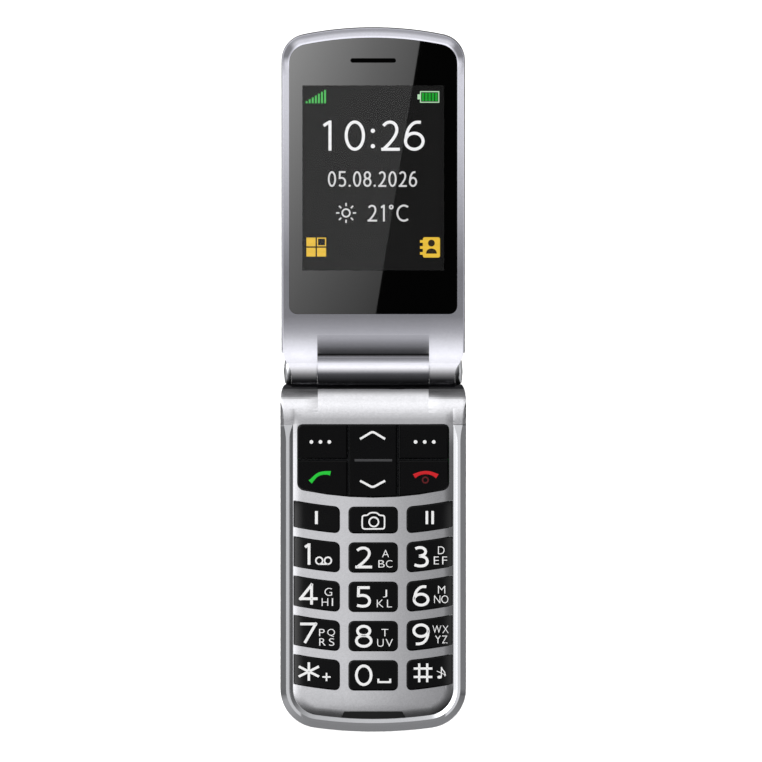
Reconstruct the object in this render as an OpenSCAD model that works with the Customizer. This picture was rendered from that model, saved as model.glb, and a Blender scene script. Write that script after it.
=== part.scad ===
// Clamshell phone, lying open on its back.
// X runs to the right, Y towards the free end of the lid, Z up; millimetres.
// The origin is under the middle of the open phone. Inside each unit, t is the
// distance from the hinge axis towards that unit's free end.

/* [Base unit] */
// Width of the base unit
base_w = 52; // [51:0.5:58]
// Hinge axis to the free end of the base unit
base_len = 100.85; // [100:0.05:112]
// Radius of the crown across the free end of the base unit
base_crown_r = 120; // [90:5:200]
// Corner radius at the free end of the base unit
base_corner_r = 11; // [9:0.5:13]
// Height over which the back edge of the base is rounded
back_round_h = 5; // [3:0.5:6]
// Width over which the back edge of the base is rounded
back_round_w = 2.4; // [1.5:0.1:3]
// Hinge axis to the tip of the base unit's nose
nose_t = 3.5; // [3.4:0.1:4.2]
// Length of the nose's rounded top
nose_len = 10.1; // [8:0.1:11]
// Drop of the nose's rounded top
nose_drop = 8; // [6:0.5:8.5]
// Wall of the plastic shells
shell_wall = 1.2; // [1:0.1:1.6]
// Gap between two shells that fit inside each other
shell_gap = 0.1; // [0.05:0.05:0.2]

/* [Trim] */
// Width of the trim in plan
trim_w = 3.5; // [3:0.1:4]
// Wall of the trim beside the keypad plate's skirt
trim_wall = 1.2; // [1:0.1:1.4]
// Hinge axis to the start of the trim
trim_start = 15; // [14.2:0.2:17]
// Width of the bevel on the outside of the trim
bevel_w = 1.6; // [1:0.1:1.9]
// Height of the bevel on the outside of the trim
bevel_h = 1.8; // [1.2:0.1:2.4]
// Width of the crest between the trim's outer bevel and its inner slope
crest_w = 0.8; // [0.4:0.1:1]
// Height of the slope on the inside of the trim
slope_h = 0.75; // [0.6:0.05:1]

/* [Base stack, from the back up] */
// Thickness of the battery cover
cover_t = 1; // [0.8:0.1:1.4]
// Thickness of the battery
battery_t = 4.5; // [4:0.1:5.5]
// Hinge axis to the battery
battery_start = 36; // [36:0.5:36.5]
// Distance of the battery from the free end of the base unit
battery_end = 14.5; // [14.5:0.5:18]
// Distance of the battery from each side of the base unit
battery_side = 8; // [7.5:0.5:10]
// Gap round the battery
battery_gap = 0.2; // [0.1:0.05:0.4]
// Thickness of the wall between the battery bay and the main board
bay_floor_t = 0.85; // [0.7:0.05:1.2]
// Thickness of the main board
board_t = 0.8; // [0.6:0.1:1.2]
// Gap under the main board
board_gap = 0.1; // [0.05:0.05:0.3]
// Height of the contact domes on the main board
dome_h = 0.3; // [0.25:0.05:0.4]
// Height of the plunger under each key
plunger_h = 0.5; // [0.5:0.05:0.8]
// Thickness of the flange that keeps each key under the plate
flange_t = 0.4; // [0.3:0.05:0.6]
// Thickness of the keypad plate
plate_t = 1.4; // [1.2:0.1:2]
// Depth of the keypad plate below the crest of the trim
plate_drop = 0.7; // [0.65:0.05:1.1]
// Width over which the keypad plate rolls down towards the trim
edge_roll_w = 2.8; // [1.5:0.1:3]
// Depth to which the keypad plate rolls down towards the trim
edge_roll_h = 0.5; // [0.2:0.05:0.6]

/* [Keys] */
// Travel of each key
key_travel = 0.35; // [0.2:0.05:0.4]
// Height of the keys above the keypad plate
key_rise = 0.45; // [0.3:0.05:0.5]
// Gap between a key and its opening
key_gap = 0.12; // [0.08:0.02:0.2]
// Play of a resting key under the plate
key_slack = 0.05; // [0.02:0.01:0.1]
// Width of the flange outside the key's opening
flange_w = 0.5; // [0.3:0.05:0.6]
// How much wider a key in the middle column is than one beside it
middle_extra = 0.8; // [0:0.1:1.5]
// Gap between two columns of keys
column_gap = 2.35; // [2:0.05:3]
// Distance of the last row of keys from the free end of the base unit
pad_end = 11.48; // [10.5:0.01:13]
// Gap between two rows of keys
row_gap = 2.43; // [2:0.01:2.6]
// Height of a memory key
memory_key_h = 7.56; // [6.8:0.01:8]
// Hinge axis to the row of memory keys
memory_row_t = 37.81; // [37.5:0.01:38.2]
// Corner radius of the keys
key_corner_r = 1.5; // [1:0.1:2]
// Radius of the curve that the outer keys of each row follow
smile_r = 114.5; // [90:0.5:200]
// Distance of the block of navigation keys from the side of the plate
cluster_side = 1.1; // [0.9:0.1:1.9]
// Hinge axis to the block of navigation keys
cluster_start = 14.73; // [14.6:0.01:15]
// Hinge axis to the far edge of the block of navigation keys, at its middle
cluster_end = 35.36; // [35:0.01:35.6]
// Radius of that far edge
cluster_r = 95.5; // [80:0.5:150]
// Hinge axis to the split between the soft keys and the call keys
cluster_split = 24.67; // [23.5:0.01:26]

/* [Lid] */
// How much narrower than the base unit the lid is, on each side
lid_step = 0.3; // [0.1:0.1:0.5]
// Hinge axis to the free end of the lid
lid_len = 96.45; // [95.5:0.05:104]
// Radius of the crown across the free end of the lid
lid_crown_r = 98; // [70:1:150]
// Corner radius at the free end of the lid
lid_corner_r = 7.5; // [6:0.5:9]
// Height of the rounding on the lid's outer face
lid_round_h = 3; // [2:0.1:3.2]
// Width of the rounding on the lid's outer face
lid_round_w = 2.2; // [1.4:0.1:2.6]
// Width of the rounding round the lid's inner face
rim_round = 0.5; // [0.3:0.1:0.8]
// Height of the rounding round the lid's inner face
rim_round_h = 1; // [0.6:0.1:1.4]
// Width of the rim round the window
rim_w = 2.1; // [1.9:0.05:2.6]
// Width of the rim at the free end of the lid
rim_end_w = 2.9; // [2.1:0.05:3.2]
// Radius of the crown across the far end of the window
window_crown_r = 98; // [70:1:150]
// Corner radius of the window, at the far end
window_far_r = 5.4; // [4:0.1:7]
// Hinge axis to the window
window_start = 16; // [15.8:0.1:18]
// Corner radius of the window, at the hinge end
window_corner_r = 2.3; // [1.5:0.1:3]
// Thickness of the window
lens_t = 1; // [0.8:0.1:1.2]
// Depth of the window below the crest of the lid's rim
lens_recess = 0.3; // [0.2:0.05:0.4]
// Gap round the window
lens_gap = 0.05; // [0.03:0.01:0.1]
// Thickness of the ledge that carries the window
ledge_t = 1; // [0.8:0.1:1.2]
// Thickness of the display module
display_t = 2.4; // [2:0.1:2.8]
// Hinge axis to the picture on the display
picture_start = 28.3; // [27.5:0.1:29.5]
// Distance of the picture from the free end of the lid
picture_end = 16.35; // [14.8:0.05:20]
// Distance of the picture from each side of the lid
picture_side = 5.85; // [5.5:0.05:8]
// Thickness of the lid's board
lid_board_t = 0.6; // [0.5:0.1:0.8]
// Room for components behind the lid's board
lid_room = 1.6; // [1.4:0.1:2.4]
// Length of the slot in front of the earpiece
ear_slot_w = 12.7; // [10:0.1:14]
// Height of the slot in front of the earpiece
ear_slot_h = 1.2; // [1:0.1:1.6]
// Distance of that slot from the free end of the lid
ear_slot_end = 9.35; // [8.6:0.05:9.6]
// Distance of the camera from the side of the lid
camera_side = 13.2; // [13:0.1:14]

/* [Hinge] */
// Gap between the lid and the base when closed
closed_gap = 0.4; // [0.3:0.05:0.6]
// Radius of the base's barrel in the middle of the hinge
barrel_r = 4.6; // [4.4:0.1:4.8]
// Distance of that barrel's ends from the sides of the base unit
barrel_side = 10.5; // [10:0.5:11.5]
// Radius of the lid's knuckles beside the barrel
knuckle_r = 4.4; // [4.2:0.1:4.5]
// Gap between the barrel and each knuckle
knuckle_gap = 0.15; // [0.1:0.05:0.3]
// Distance of the knuckles' outer faces from the sides of the base unit
knuckle_side = 3.1; // [2.8:0.1:3.5]
// Hinge axis to the start of the lid's rise towards its knuckles
rise_start = 15.5; // [15:0.1:15.7]
// Hinge axis to the start of the roll on the lid's outer face
roll_start = 11; // [10:0.2:12]
// Radius of the end caps
cap_r = 4; // [3.5:0.1:4.1]
// Thickness of the end caps
cap_t = 2.1; // [1.5:0.1:2.2]
// Radius of the click module in the barrel
module_r = 2.8; // [2.6:0.05:3]
// Wall of the click module
module_wall = 0.5; // [0.4:0.05:0.6]
// Length of the click module
module_len = 13; // [11:0.5:14]
// Radius of the cam head in the left knuckle
head_r = 2.6; // [2.4:0.05:2.8]
// Radius of the cam head's stub, which turns in the click module
stub_r = 1; // [0.8:0.05:1.2]
// Outer radius of the hollow shaft in the right knuckle
shaft_r = 2; // [1.9:0.05:2.1]
// Inner radius of that shaft, which the flexible cable passes through
shaft_bore_r = 1.5; // [1.45:0.05:1.55]
// Length of the shaft inside the barrel
shaft_grip = 4.5; // [3.5:0.5:5]
// Radial clearance of a turning fit
run_gap = 0.03; // [0.02:0.01:0.06]
// Radial clearance of a fixed fit
seat_gap = 0.02; // [0.01:0.01:0.04]

/* [Fasteners and sockets] */
// Radius of the base's screws
screw_r = 0.8; // [0.7:0.05:0.9]
// Radius of the base's screw heads
screw_head_r = 1.5; // [1.3:0.05:1.6]
// Height of a screw head
screw_head_h = 0.9; // [0.7:0.1:1]
// Radius of the bosses round the base's screws
boss_r = 2.1; // [1.9:0.1:2.3]
// Radius of the lid's screws
lid_screw_r = 0.7; // [0.6:0.05:0.8]
// Width of the charging socket
socket_w = 7.6; // [7.4:0.1:8]
// Height of the charging socket
socket_h = 2.8; // [2.4:0.1:3]
// Depth of the charging socket
socket_depth = 5.2; // [5:0.1:6]

/* [Hidden] */
$fn = 48;
// Overlap that keeps a cutting solid clear of the face it cuts
cut = 0.5;
silver = "#c3c4c9";
chrome = "#9fa0a8";
charcoal = "#1c1c1f";
key_black = "#0c0c0e";
gold = "#c9a24a";
steel = "#a9abb0";

// Heights in the base unit
battery_z = cover_t + battery_gap;
bay_top_z = battery_z + battery_t + battery_gap;
part_z = bay_top_z + bay_floor_t;
board_z = part_z + board_gap;
board_top_z = board_z + board_t;
dome_z = board_top_z + dome_h;
plunger_clearance = 0.05;
plunger_z = dome_z + key_travel + plunger_clearance;
flange_z = plunger_z + plunger_h;
flange_top_z = flange_z + flange_t;
plate_under_z = flange_top_z + key_slack;
plate_z = plate_under_z + plate_t;
key_top_z = plate_z + key_rise;
base_t = plate_z + plate_drop;
axis_z = base_t + closed_gap / 2;
rear_wall_z = cover_t + plunger_clearance;
rear_inner_z = rear_wall_z + shell_wall;

// Plan of the base unit
skirt_inset = trim_wall + shell_gap;
plate_inset = trim_w + shell_gap;
plate_half_w = base_w / 2 - plate_inset;
edge_roll_r = (pow(edge_roll_w, 2) + pow(edge_roll_h, 2)) / (2 * edge_roll_h);
edge_steps = [for (k = [0 : 5]) edge_roll_w * k / 5];
base_near_corner = [1.6, 5];
nose_roll = [3, 2.7];
web_start = 4;
shelf_w = 1.2;
shelf_t = flange_t;
shelf_z = flange_z - plunger_clearance - shelf_t;
pad_half_w = plate_half_w - shelf_w;
cavity_start = 9.5;
cover_start = 9.2;
hinge_screws = [base_w / 2 - 6.6, cavity_start + 1.9];
end_screws = [base_w / 2 - 11, base_len - 5.7];

// Keys and the sheets under them
key_w = (2 * plate_half_w - 2 * column_gap + 2 * middle_extra) / 3;
inner_x = key_w / 2 + column_gap;
cluster_half_w = plate_half_w - cluster_side;
number_start = memory_row_t + memory_key_h + row_gap;
row_pitch = (base_len - pad_end - number_start + row_gap) / 4;
key_h = row_pitch - row_gap;
slot_near_half = 8.06;
slot_far_half = 9.2;
slot_depth = 5.65;
plunger_r = 1.2;
rocker_reach = 6.8;
rocker_rib = [3, 0.45];
pad_edge = pad_half_w - 0.15;
sheet_t = 0.1;
sheet_half_w = plate_half_w - shelf_w - 0.5;

// Parts in the base unit
battery_w = base_w - 2 * battery_side;
battery_len = base_len - battery_start - battery_end;
battery_far = battery_start + battery_len;
board_start = 13.9;
board_end = base_len - 8.2;
board_half_w = base_w / 2 - skirt_inset - shell_wall - 1.1;
tongue_half_w = 6;
tongue_end = base_len - 3.2;
sheet_start = board_start + 0.1;
sheet_end = board_end - 1.3;
contact_xs = [-8, -5, -2];
part_side = board_half_w - 2.4;
shield_w = 17;
shield_len = 16;
shield_h = 1.3;
sheet_wall = 0.2;
sim_w = 13.5;
sim_h = 1.8;
sim_wall = 0.4;
antenna_w = 10.5;
antenna_h = 3.2;
speaker_at = [16 - base_w / 2, 21.5];
speaker_r = 6.5;
speaker_h = 2.4;
speaker_top_r = 4.2;
speaker_top_h = 0.8;
motor_at = [base_w / 2 - 14, 23];
motor_r = 5;
motor_h = 2.7;
mic_r = 1.5;
mic_h = 1.2;

// Lid
lid_w = base_w - 2 * lid_step;
picture_w = lid_w - 2 * picture_side;
picture_h = lid_len - picture_start - picture_end;
ear_slot_t = lid_len - ear_slot_end;
camera_x = lid_w / 2 - camera_side;
camera_r = 3.6;
lid_near_corner = [0.65, 18];

// Heights in the lid, which lies with its inner face level with the base's crest
lid_top_z = base_t;
lens_z = lid_top_z - lens_recess;
lens_under_z = lens_z - lens_t;
ledge_z = lens_under_z - ledge_t;
gasket_t = 0.2;
display_top_z = ledge_z - gasket_t;
display_z = display_top_z - display_t;
lid_board_top_z = display_z - board_gap;
lid_board_z = lid_board_top_z - lid_board_t;
lid_inner_z = lid_board_z - lid_room;
lid_back_z = lid_inner_z - shell_wall;
lid_cavity_start = 8.5;
lens_end = lid_len - rim_end_w;
display_margin = [1.9, 5.5, 2.2];
ear_w = ear_slot_w + 1;
ear_h = 5.4;
lid_screw_near = [lid_w / 2 - 5.1, window_start + 2];
lid_screw_far = [lid_w / 2 - 7.1, lid_len - 7.7];
lid_board_side = 4.3;
lid_board_start = picture_start - 7.8;
lid_boss_r = 1.9;
lid_head_r = 1.25;
magnet_w = 8;
magnet_h = 3;

// Hinge
hinge_y = (base_len - lid_len) / 2;
barrel_half = base_w / 2 - barrel_side;
knuckle_end = base_w / 2 - knuckle_side;
knuckle_start = barrel_half + knuckle_gap;
lid_h = -closed_gap / 2;
rise_r = (pow(rise_start, 2) + pow(lid_h, 2) - pow(knuckle_r, 2)) / (2 * knuckle_r - 2 * lid_h);
roll_h = axis_z - lid_back_z;
roll_r = (pow(roll_start, 2) + pow(roll_h, 2) - pow(knuckle_r, 2)) / (2 * roll_h - 2 * knuckle_r);
lip_r = 4.87;
lip_centre = [9.12, -4.36];
lip_start = 10.2;
web_drop = 1;
corner_sweep = [[0, -1], [0.15, 0.3], [0.7, 1.5], [1.4, 2.5], [2, 3.9], [2.3, 5.2]];
module_end = -barrel_half + module_len;
shaft_start = barrel_half - shaft_grip;
flex_r = shaft_bore_r - 0.25;
flex_w = 4;
lid_flex_w = 2.2;
flex_t = 0.15;
lid_flex_x = knuckle_start + 0.6;
base_flex_x = shaft_start - 6.4;
follower_x = 2.7 - barrel_half;

// Points along an arc or part of an ellipse
function arc_points(centre, rx, ry, from, to, steps) = [
    for (k = [0 : steps])
        let (a = from + (to - from) * k / steps) [centre[0] + rx * cos(a), centre[1] + ry * sin(a)]
];

// Plan outline of a unit: straight sides, two corner arcs and a crowned free end.
// near is where it starts, near_corner the size of its corners there.
function unit_outline(w, length, crown_r, corner_r, near, near_corner, inset) =
    let (
        half = w / 2 - inset,
        big = crown_r - inset,
        small = max(corner_r - inset, 0.5),
        crown_t = length - crown_r,
        corner_t = crown_t + sqrt(pow(big - small, 2) - pow(half - small, 2)),
        turn = atan2(corner_t - crown_t, half - small),
        side = concat(
            arc_points([half - near_corner[0], near + near_corner[1]],
                near_corner[0], near_corner[1], -90, 0, 6),
            arc_points([half - small, corner_t], small, small, 0, turn, 12)),
        crown = arc_points([0, crown_t], big, big, turn, 180 - turn, 20))
    concat(
        side,
        [for (k = [1 : 19]) crown[k]],
        [for (k = [len(side) - 1 : -1 : 0]) [-side[k][0], side[k][1]]]);

function base_outline(inset, near, near_corner = [1, 1]) =
    unit_outline(base_w, base_len, base_crown_r, base_corner_r, near, near_corner, inset);

function lid_outline(inset, near, near_corner = [1, 1]) =
    unit_outline(lid_w, lid_len, lid_crown_r, lid_corner_r, near, near_corner, inset);

// Plan outline of the window, made smaller by gap all round
function window_outline(gap) =
    unit_outline(lid_w, lens_end + rim_w, window_crown_r + rim_w, window_far_r + rim_w,
        window_start + gap, [window_corner_r, window_corner_r], rim_w + gap);

// Drop of an arc of radius r at a distance x from its middle; none when r is 0
function sag(x, r) = r > 0 ? r - sqrt(pow(r, 2) - pow(x, 2)) : 0;

// Outline of a key or its opening. r holds the corner radii, from the inner near
// corner round to the inner far one; near_r and far_r are the radii of the two
// long edges; grow widens it all round.
function key_cell(x0, x1, t0, t1, r, near_r, far_r, grow = 0) =
    let (
        steps = 6,
        near_run = near_r > 0 ? [for (k = [1 : steps - 1])
            [x0 + r[0] + (x1 - r[1] - x0 - r[0]) * k / steps, t0 - grow]] : [],
        far_run = far_r > 0 ? [for (k = [1 : steps - 1])
            [x1 - r[2] + (x0 + r[3] - x1 + r[2]) * k / steps, t1 + grow]] : [],
        near = concat(
            arc_points([x0 + r[0], t0 + r[0]], r[0] + grow, r[0] + grow, 180, 270, 4),
            near_run,
            arc_points([x1 - r[1], t0 + r[1]], r[1] + grow, r[1] + grow, 270, 360, 4)),
        far = concat(
            arc_points([x1 - r[2], t1 - r[2]], r[2] + grow, r[2] + grow, 0, 90, 4),
            far_run,
            arc_points([x0 + r[3], t1 - r[3]], r[3] + grow, r[3] + grow, 90, 180, 4)))
    concat(
        [for (p = near) [p[0], p[1] - sag(p[0], near_r)]],
        [for (p = far) [p[0], p[1] - sag(p[0], far_r)]]);

// Start of the number row k
function number_row_t(k) = number_start + k * row_pitch;

// Half-unit frames: t becomes +Y in the lid and -Y in the base
module in_lid() { translate([0, hinge_y, 0]) children(); }
module in_base() { translate([0, hinge_y, 0]) mirror([0, 1, 0]) children(); }

// The same solid on both sides of the middle
module both_sides() {
    children();
    mirror([1, 0, 0]) children();
}

// Solid skinned over a stack of [height, outline] layers
module skin(layers) {
    count = len(layers[0][1]);
    last = len(layers) - 1;
    polyhedron(
        points = [for (layer = layers) for (p = layer[1]) [p[0], p[1], layer[0]]],
        faces = concat(
            [[for (k = [0 : count - 1]) k]],
            [[for (k = [count - 1 : -1 : 0]) last * count + k]],
            [for (n = [0 : last - 1]) for (k = [0 : count - 1])
                let (a = n * count + k, b = n * count + (k + 1) % count)
                    [a, a + count, b + count, b]]));
}

// Straight-sided solid over an outline
module prism(outline, z0, z1) {
    translate([0, 0, z0]) linear_extrude(height = z1 - z0) polygon(outline);
}

// Solid with a (t, z) profile, from x0 to x1
module side_prism(profile, x0, x1) {
    translate([x0, 0, 0]) rotate([90, 0, 90]) linear_extrude(height = x1 - x0) polygon(profile);
}

module block(x0, x1, t0, t1, z0, z1) {
    translate([x0, t0, z0]) cube([x1 - x0, t1 - t0, z1 - z0]);
}

module post(x, t, r, z0, z1) {
    translate([x, t, z0]) cylinder(r = r, h = z1 - z0);
}

// Cylinder along the hinge axis
module axis_rod(r, x0, x1) {
    translate([x0, 0, axis_z]) rotate([0, 90, 0]) cylinder(r = r, h = x1 - x0);
}

// Everything of the base unit inside its outer faces, between two heights
module base_envelope(near) {
    skin(concat(
        [for (a = [0 : 18 : 90])
            [back_round_h * (1 - cos(a)),
             base_outline(back_round_w * (1 - sin(a)), near, base_near_corner)]],
        [[base_t - bevel_h, base_outline(0, near, base_near_corner)],
         [base_t, base_outline(bevel_w, near, base_near_corner)]]));
}

// Side view of the base: rounded nose over a rounded back corner, between heights z0 and z1
module base_side(z0, z1) {
    nose_top = [nose_t + nose_len, plate_z];
    nose_foot = [nose_t + nose_roll[0], min(nose_roll[1], plate_z - nose_drop)];
    profile = concat(
        [[base_len + cut, 0]],
        [[base_len + cut, plate_z]],
        arc_points([nose_top[0], nose_top[1] - nose_drop], nose_len, nose_drop, 90, 180, 20),
        arc_points(nose_foot, nose_roll[0], nose_foot[1], 180, 270, 4));
    intersection() {
        side_prism(profile, -base_w, base_w);
        block(-base_w, base_w, -cut, base_len + 2 * cut, z0, z1);
    }
}

// The plate's rolled edge carried on into the nose, where it runs out
module edge_groove() {
    translate([0, trim_start + cut, 0]) rotate([90, 0, 0])
        linear_extrude(height = trim_start) polygon(concat(
            [for (x = edge_steps) [plate_half_w - x, plate_z - sag(edge_roll_w - x, edge_roll_r)]],
            [[plate_half_w - edge_roll_w, plate_z + cut], [plate_half_w, plate_z + cut]]));
}

// Web that joins the barrel to the nose
module barrel_web() {
    web_len = nose_t + nose_len - web_start;
    web_r = (pow(web_len, 2) + pow(web_drop, 2)) / (2 * web_drop);
    top = [nose_t + nose_len, plate_z - web_r];
    reach = asin(web_len / web_r);
    side_prism(concat(
        arc_points(top, web_r, web_r, 90, 90 + reach, 6),
        [[2, axis_z - 2.6], [2, axis_z - 4], [nose_t + 3.2, axis_z - 4.6],
         [nose_t + nose_len, part_z + 2]]),
        -barrel_half, barrel_half);
}

// Key openings ------------------------------------------------------------------

// Opening or cap of a middle key
function middle_cell(t0, h, grow) =
    key_cell(-key_w / 2, key_w / 2, t0, t0 + h,
        [key_corner_r, key_corner_r, key_corner_r, key_corner_r], 0, 0, grow);

// Opening or cap of an outer key, on the +X side; x1 is its outer end
function outer_cell(t0, h, x1, grow) =
    let (lift = sag(inner_x, smile_r))
    key_cell(inner_x, x1, t0 + lift, t0 + h + lift,
        [key_corner_r, 0.3, 0.3, key_corner_r], smile_r, smile_r, grow);

function cluster_cell(grow) =
    key_cell(-cluster_half_w, cluster_half_w, cluster_start, cluster_end,
        [key_corner_r, key_corner_r, 1.7, 1.7], 0, cluster_r, grow);

module row_openings(t0, h) {
    low_z = shelf_z + shelf_t;
    prism(middle_cell(t0, h, 0), low_z, plate_z + cut);
    both_sides() prism(outer_cell(t0, h, plate_half_w + 0.02, 0), low_z, plate_z + cut);
}

module key_openings() {
    prism(cluster_cell(0), shelf_z - cut, plate_z + cut);
    row_openings(memory_row_t, memory_key_h);
    for (k = [0 : 3]) row_openings(number_row_t(k), key_h);
}

// Outline of the black slot at the free end of the plate, grown by a clearance
function slot_outline(grow) =
    let (
        near_half = slot_near_half + grow,
        far_half = slot_far_half + grow,
        near_t = base_len - slot_depth - grow,
        far_r = base_crown_r - plate_inset + grow,
        far_t = base_len - base_crown_r,
        reach = asin(far_half / far_r))
    concat([[-near_half, near_t], [near_half, near_t]],
        arc_points([0, far_t], far_r, far_r, 90 - reach, 90 + reach, 6));

// Base unit ---------------------------------------------------------------------

module keypad_plate() color(silver) in_base() difference() {
    union() {
        difference() {
            intersection() {
                base_envelope(nose_t);
                base_side(part_z, plate_z);
                block(-base_w, base_w, 0, trim_start - shell_gap, 0, axis_z);
            }
            both_sides() edge_groove();
        }
        prism(base_outline(skirt_inset, cavity_start), part_z, plate_under_z);
        skin(concat(
            [[shelf_z, base_outline(plate_inset, cavity_start + 2)]],
            [for (x = edge_steps) [plate_z - sag(edge_roll_w - x, edge_roll_r),
                base_outline(plate_inset + x, cavity_start + 2)]]));
        axis_rod(barrel_r, -barrel_half, barrel_half);
        barrel_web();
    }
    difference() {
        union() {
            prism(base_outline(skirt_inset + shell_wall, cavity_start), part_z - cut, shelf_z);
            prism(base_outline(plate_inset + shelf_w, board_start - 0.3), shelf_z - cut,
                plate_under_z);
        }
        both_sides() {
            post(hinge_screws[0], hinge_screws[1], boss_r, part_z - 2 * cut, plate_under_z);
            post(end_screws[0], end_screws[1], boss_r, part_z - 2 * cut, plate_under_z);
        }
    }
    key_openings();
    prism(slot_outline(seat_gap), plate_under_z - cut, plate_z + cut);
    both_sides() {
        post(hinge_screws[0], hinge_screws[1], screw_r + seat_gap, part_z - cut, part_z + 2.2);
        post(end_screws[0], end_screws[1], screw_r + seat_gap, part_z - cut, part_z + 2.2);
    }
    axis_rod(module_r + seat_gap, -barrel_half - cut, module_end);
    axis_rod(flex_r + 0.9, module_end - cut, shaft_start + cut);
    axis_rod(shaft_r + run_gap, shaft_start, barrel_half + cut);
    base_flex_path(0.5, 0.4);
}

module base_trim() color(chrome) in_base() difference() {
    intersection() {
        base_envelope(nose_t);
        block(-base_w, base_w, trim_start, base_len + cut, part_z, base_t + cut);
    }
    prism(base_outline(trim_wall, trim_start - 3), part_z - cut, plate_under_z + shell_gap);
    skin([
        [plate_under_z - cut, base_outline(trim_w, trim_start - 3)],
        [base_t - slope_h, base_outline(trim_w, trim_start - 3)],
        [base_t, base_outline(bevel_w + crest_w, trim_start - 3)],
        [base_t + cut, base_outline(bevel_w + crest_w, trim_start - 3)]]);
}

module slot_insert() color(key_black) in_base()
    prism(slot_outline(0), plate_under_z, plate_z - 0.15);

module rear_housing() color(charcoal) in_base() difference() {
    union() {
        difference() {
            intersection() {
                base_envelope(nose_t);
                base_side(0, part_z);
            }
            difference() {
                prism(base_outline(skirt_inset, cavity_start), rear_inner_z, part_z + cut);
                bay_block(battery_gap + 1, rear_inner_z - cut, part_z + 2 * cut);
            }
        }
        both_sides() {
            post(hinge_screws[0], hinge_screws[1], boss_r, rear_inner_z - cut, part_z);
            post(end_screws[0], end_screws[1], boss_r, rear_inner_z - cut, part_z);
        }
    }
    block(-base_w, base_w, cover_start - shell_gap, base_len + cut, -cut, rear_wall_z);
    bay_block(battery_gap, -cut, bay_top_z);
    contact_block(shell_gap);
    sim_block(shell_gap, rear_wall_z - cut, rear_inner_z + cut);
    socket_block(shell_gap, cut);
    both_sides() for (at = [hinge_screws, end_screws]) {
        post(at[0], at[1], screw_r + seat_gap, -cut, part_z + cut);
        post(at[0], at[1], screw_head_r + shell_gap, -cut, rear_wall_z + screw_head_h + shell_gap);
    }
    speaker_holes(rear_wall_z - cut, rear_inner_z + cut);
    base_flex_path(0.5, 0.4);
}

module bay_block(gap, z0, z1) {
    block(-battery_w / 2 - gap, battery_w / 2 + gap, battery_start - gap, battery_far + gap,
        z0, z1);
}

module battery_cover() color(charcoal) in_base() difference() {
    intersection() {
        base_envelope(nose_t);
        block(-base_w, base_w, cover_start, base_len + cut, -cut, cover_t);
    }
    speaker_holes(-cut, cover_t + cut);
}

module battery() color("#3d4147") in_base() difference() {
    bay_block(0, battery_z, battery_z + battery_t);
    for (x = contact_xs) block(x - 0.9, x + 0.9, battery_start - cut, battery_start + 0.4,
        battery_z + 1.2, battery_z + 3);
}

// Contact block between the battery and the main board
module contact_block(gap) {
    block(contact_xs[0] - 2 - gap, contact_xs[2] + 2 + gap, battery_start - 4 - gap,
        battery_start - battery_gap + gap, battery_z + 0.8 - gap, bay_top_z + gap);
}

module battery_contacts() color(gold) in_base() {
    contact_block(0);
    for (x = contact_xs) block(x - 0.5, x + 0.5, battery_start - battery_gap - 0.1,
        battery_start + 0.2, battery_z + 1.6, battery_z + 2.6);
}

module main_board() color("#1f5a3a") in_base() difference() {
    union() {
        block(-board_half_w, board_half_w, board_start, board_end, board_z, board_top_z);
        block(-tongue_half_w, tongue_half_w, board_end - cut, tongue_end, board_z, board_top_z);
    }
    block(base_flex_x - 0.6, base_flex_x + flex_w + 0.6, board_start - cut, board_start + 0.4,
        board_z - cut, board_top_z + cut);
}

// Centre of every key's plunger
function plungers() = concat(
    [for (x = [-1, 1]) for (t = [(cluster_start + cluster_split) / 2,
        (cluster_split + cluster_end - sag(cluster_half_w / 2, cluster_r)) / 2])
        [x * (key_w / 2 + cluster_half_w) / 2, t]],
    [for (t = rocker_plungers()) [0, t]],
    [for (x = [-1, 0, 1]) key_plunger(x, memory_row_t, memory_key_h)],
    [for (k = [0 : 3]) for (x = [-1, 0, 1]) key_plunger(x, number_row_t(k), key_h)]);

function key_plunger(column, t0, h) =
    let (x = (inner_x + pad_half_w) / 2)
    [column * x, t0 + h / 2 - abs(column) * (sag(x, smile_r) - sag(inner_x, smile_r))];

function rocker_middle() = (cluster_start + cluster_end) / 2;
function rocker_plungers() = [rocker_middle() - rocker_reach, rocker_middle() + rocker_reach];

module dome_sheet() color("#d9c9a0") in_base() {
    difference() {
        block(-sheet_half_w, sheet_half_w, sheet_start, sheet_end, board_top_z,
            board_top_z + sheet_t);
        block(base_flex_x - 0.3, base_flex_x + flex_w + 0.3, sheet_start - cut,
            board_start + 2.3, board_top_z - cut, board_top_z + cut);
    }
    for (p = plungers()) translate([p[0], p[1], board_top_z + sheet_t])
        cylinder(r1 = 2.2, r2 = 1.3, h = dome_h - sheet_t);
}

module keymat() color("#8f9298") in_base() {
    web = [dome_z + 0.1, dome_z + 0.3];
    collar_z = flange_z - key_travel - plunger_clearance;
    difference() {
        union() {
            block(-sheet_half_w, sheet_half_w, sheet_start, sheet_end, web[0], web[1]);
            block(-sheet_half_w, -sheet_half_w + 0.8, sheet_start, sheet_end,
                board_top_z + sheet_t, web[1]);
            block(sheet_half_w - 0.8, sheet_half_w, sheet_start, sheet_end,
                board_top_z + sheet_t, web[1]);
            for (p = plungers()) post(p[0], p[1], plunger_r + 1, web[0], collar_z);
            block(-rocker_rib[0], rocker_rib[0], rocker_middle() - rocker_rib[1],
                rocker_middle() + rocker_rib[1], web[0], flange_z - rocker_rib[1] - 0.02);
        }
        for (p = plungers()) post(p[0], p[1], plunger_r + 0.3, web[0] - cut, collar_z + cut);
    }
}

module rf_shield() color(steel) in_base() difference() {
    shield_block(0, board_z);
    shield_block(sheet_wall, board_z + cut);
}

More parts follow.
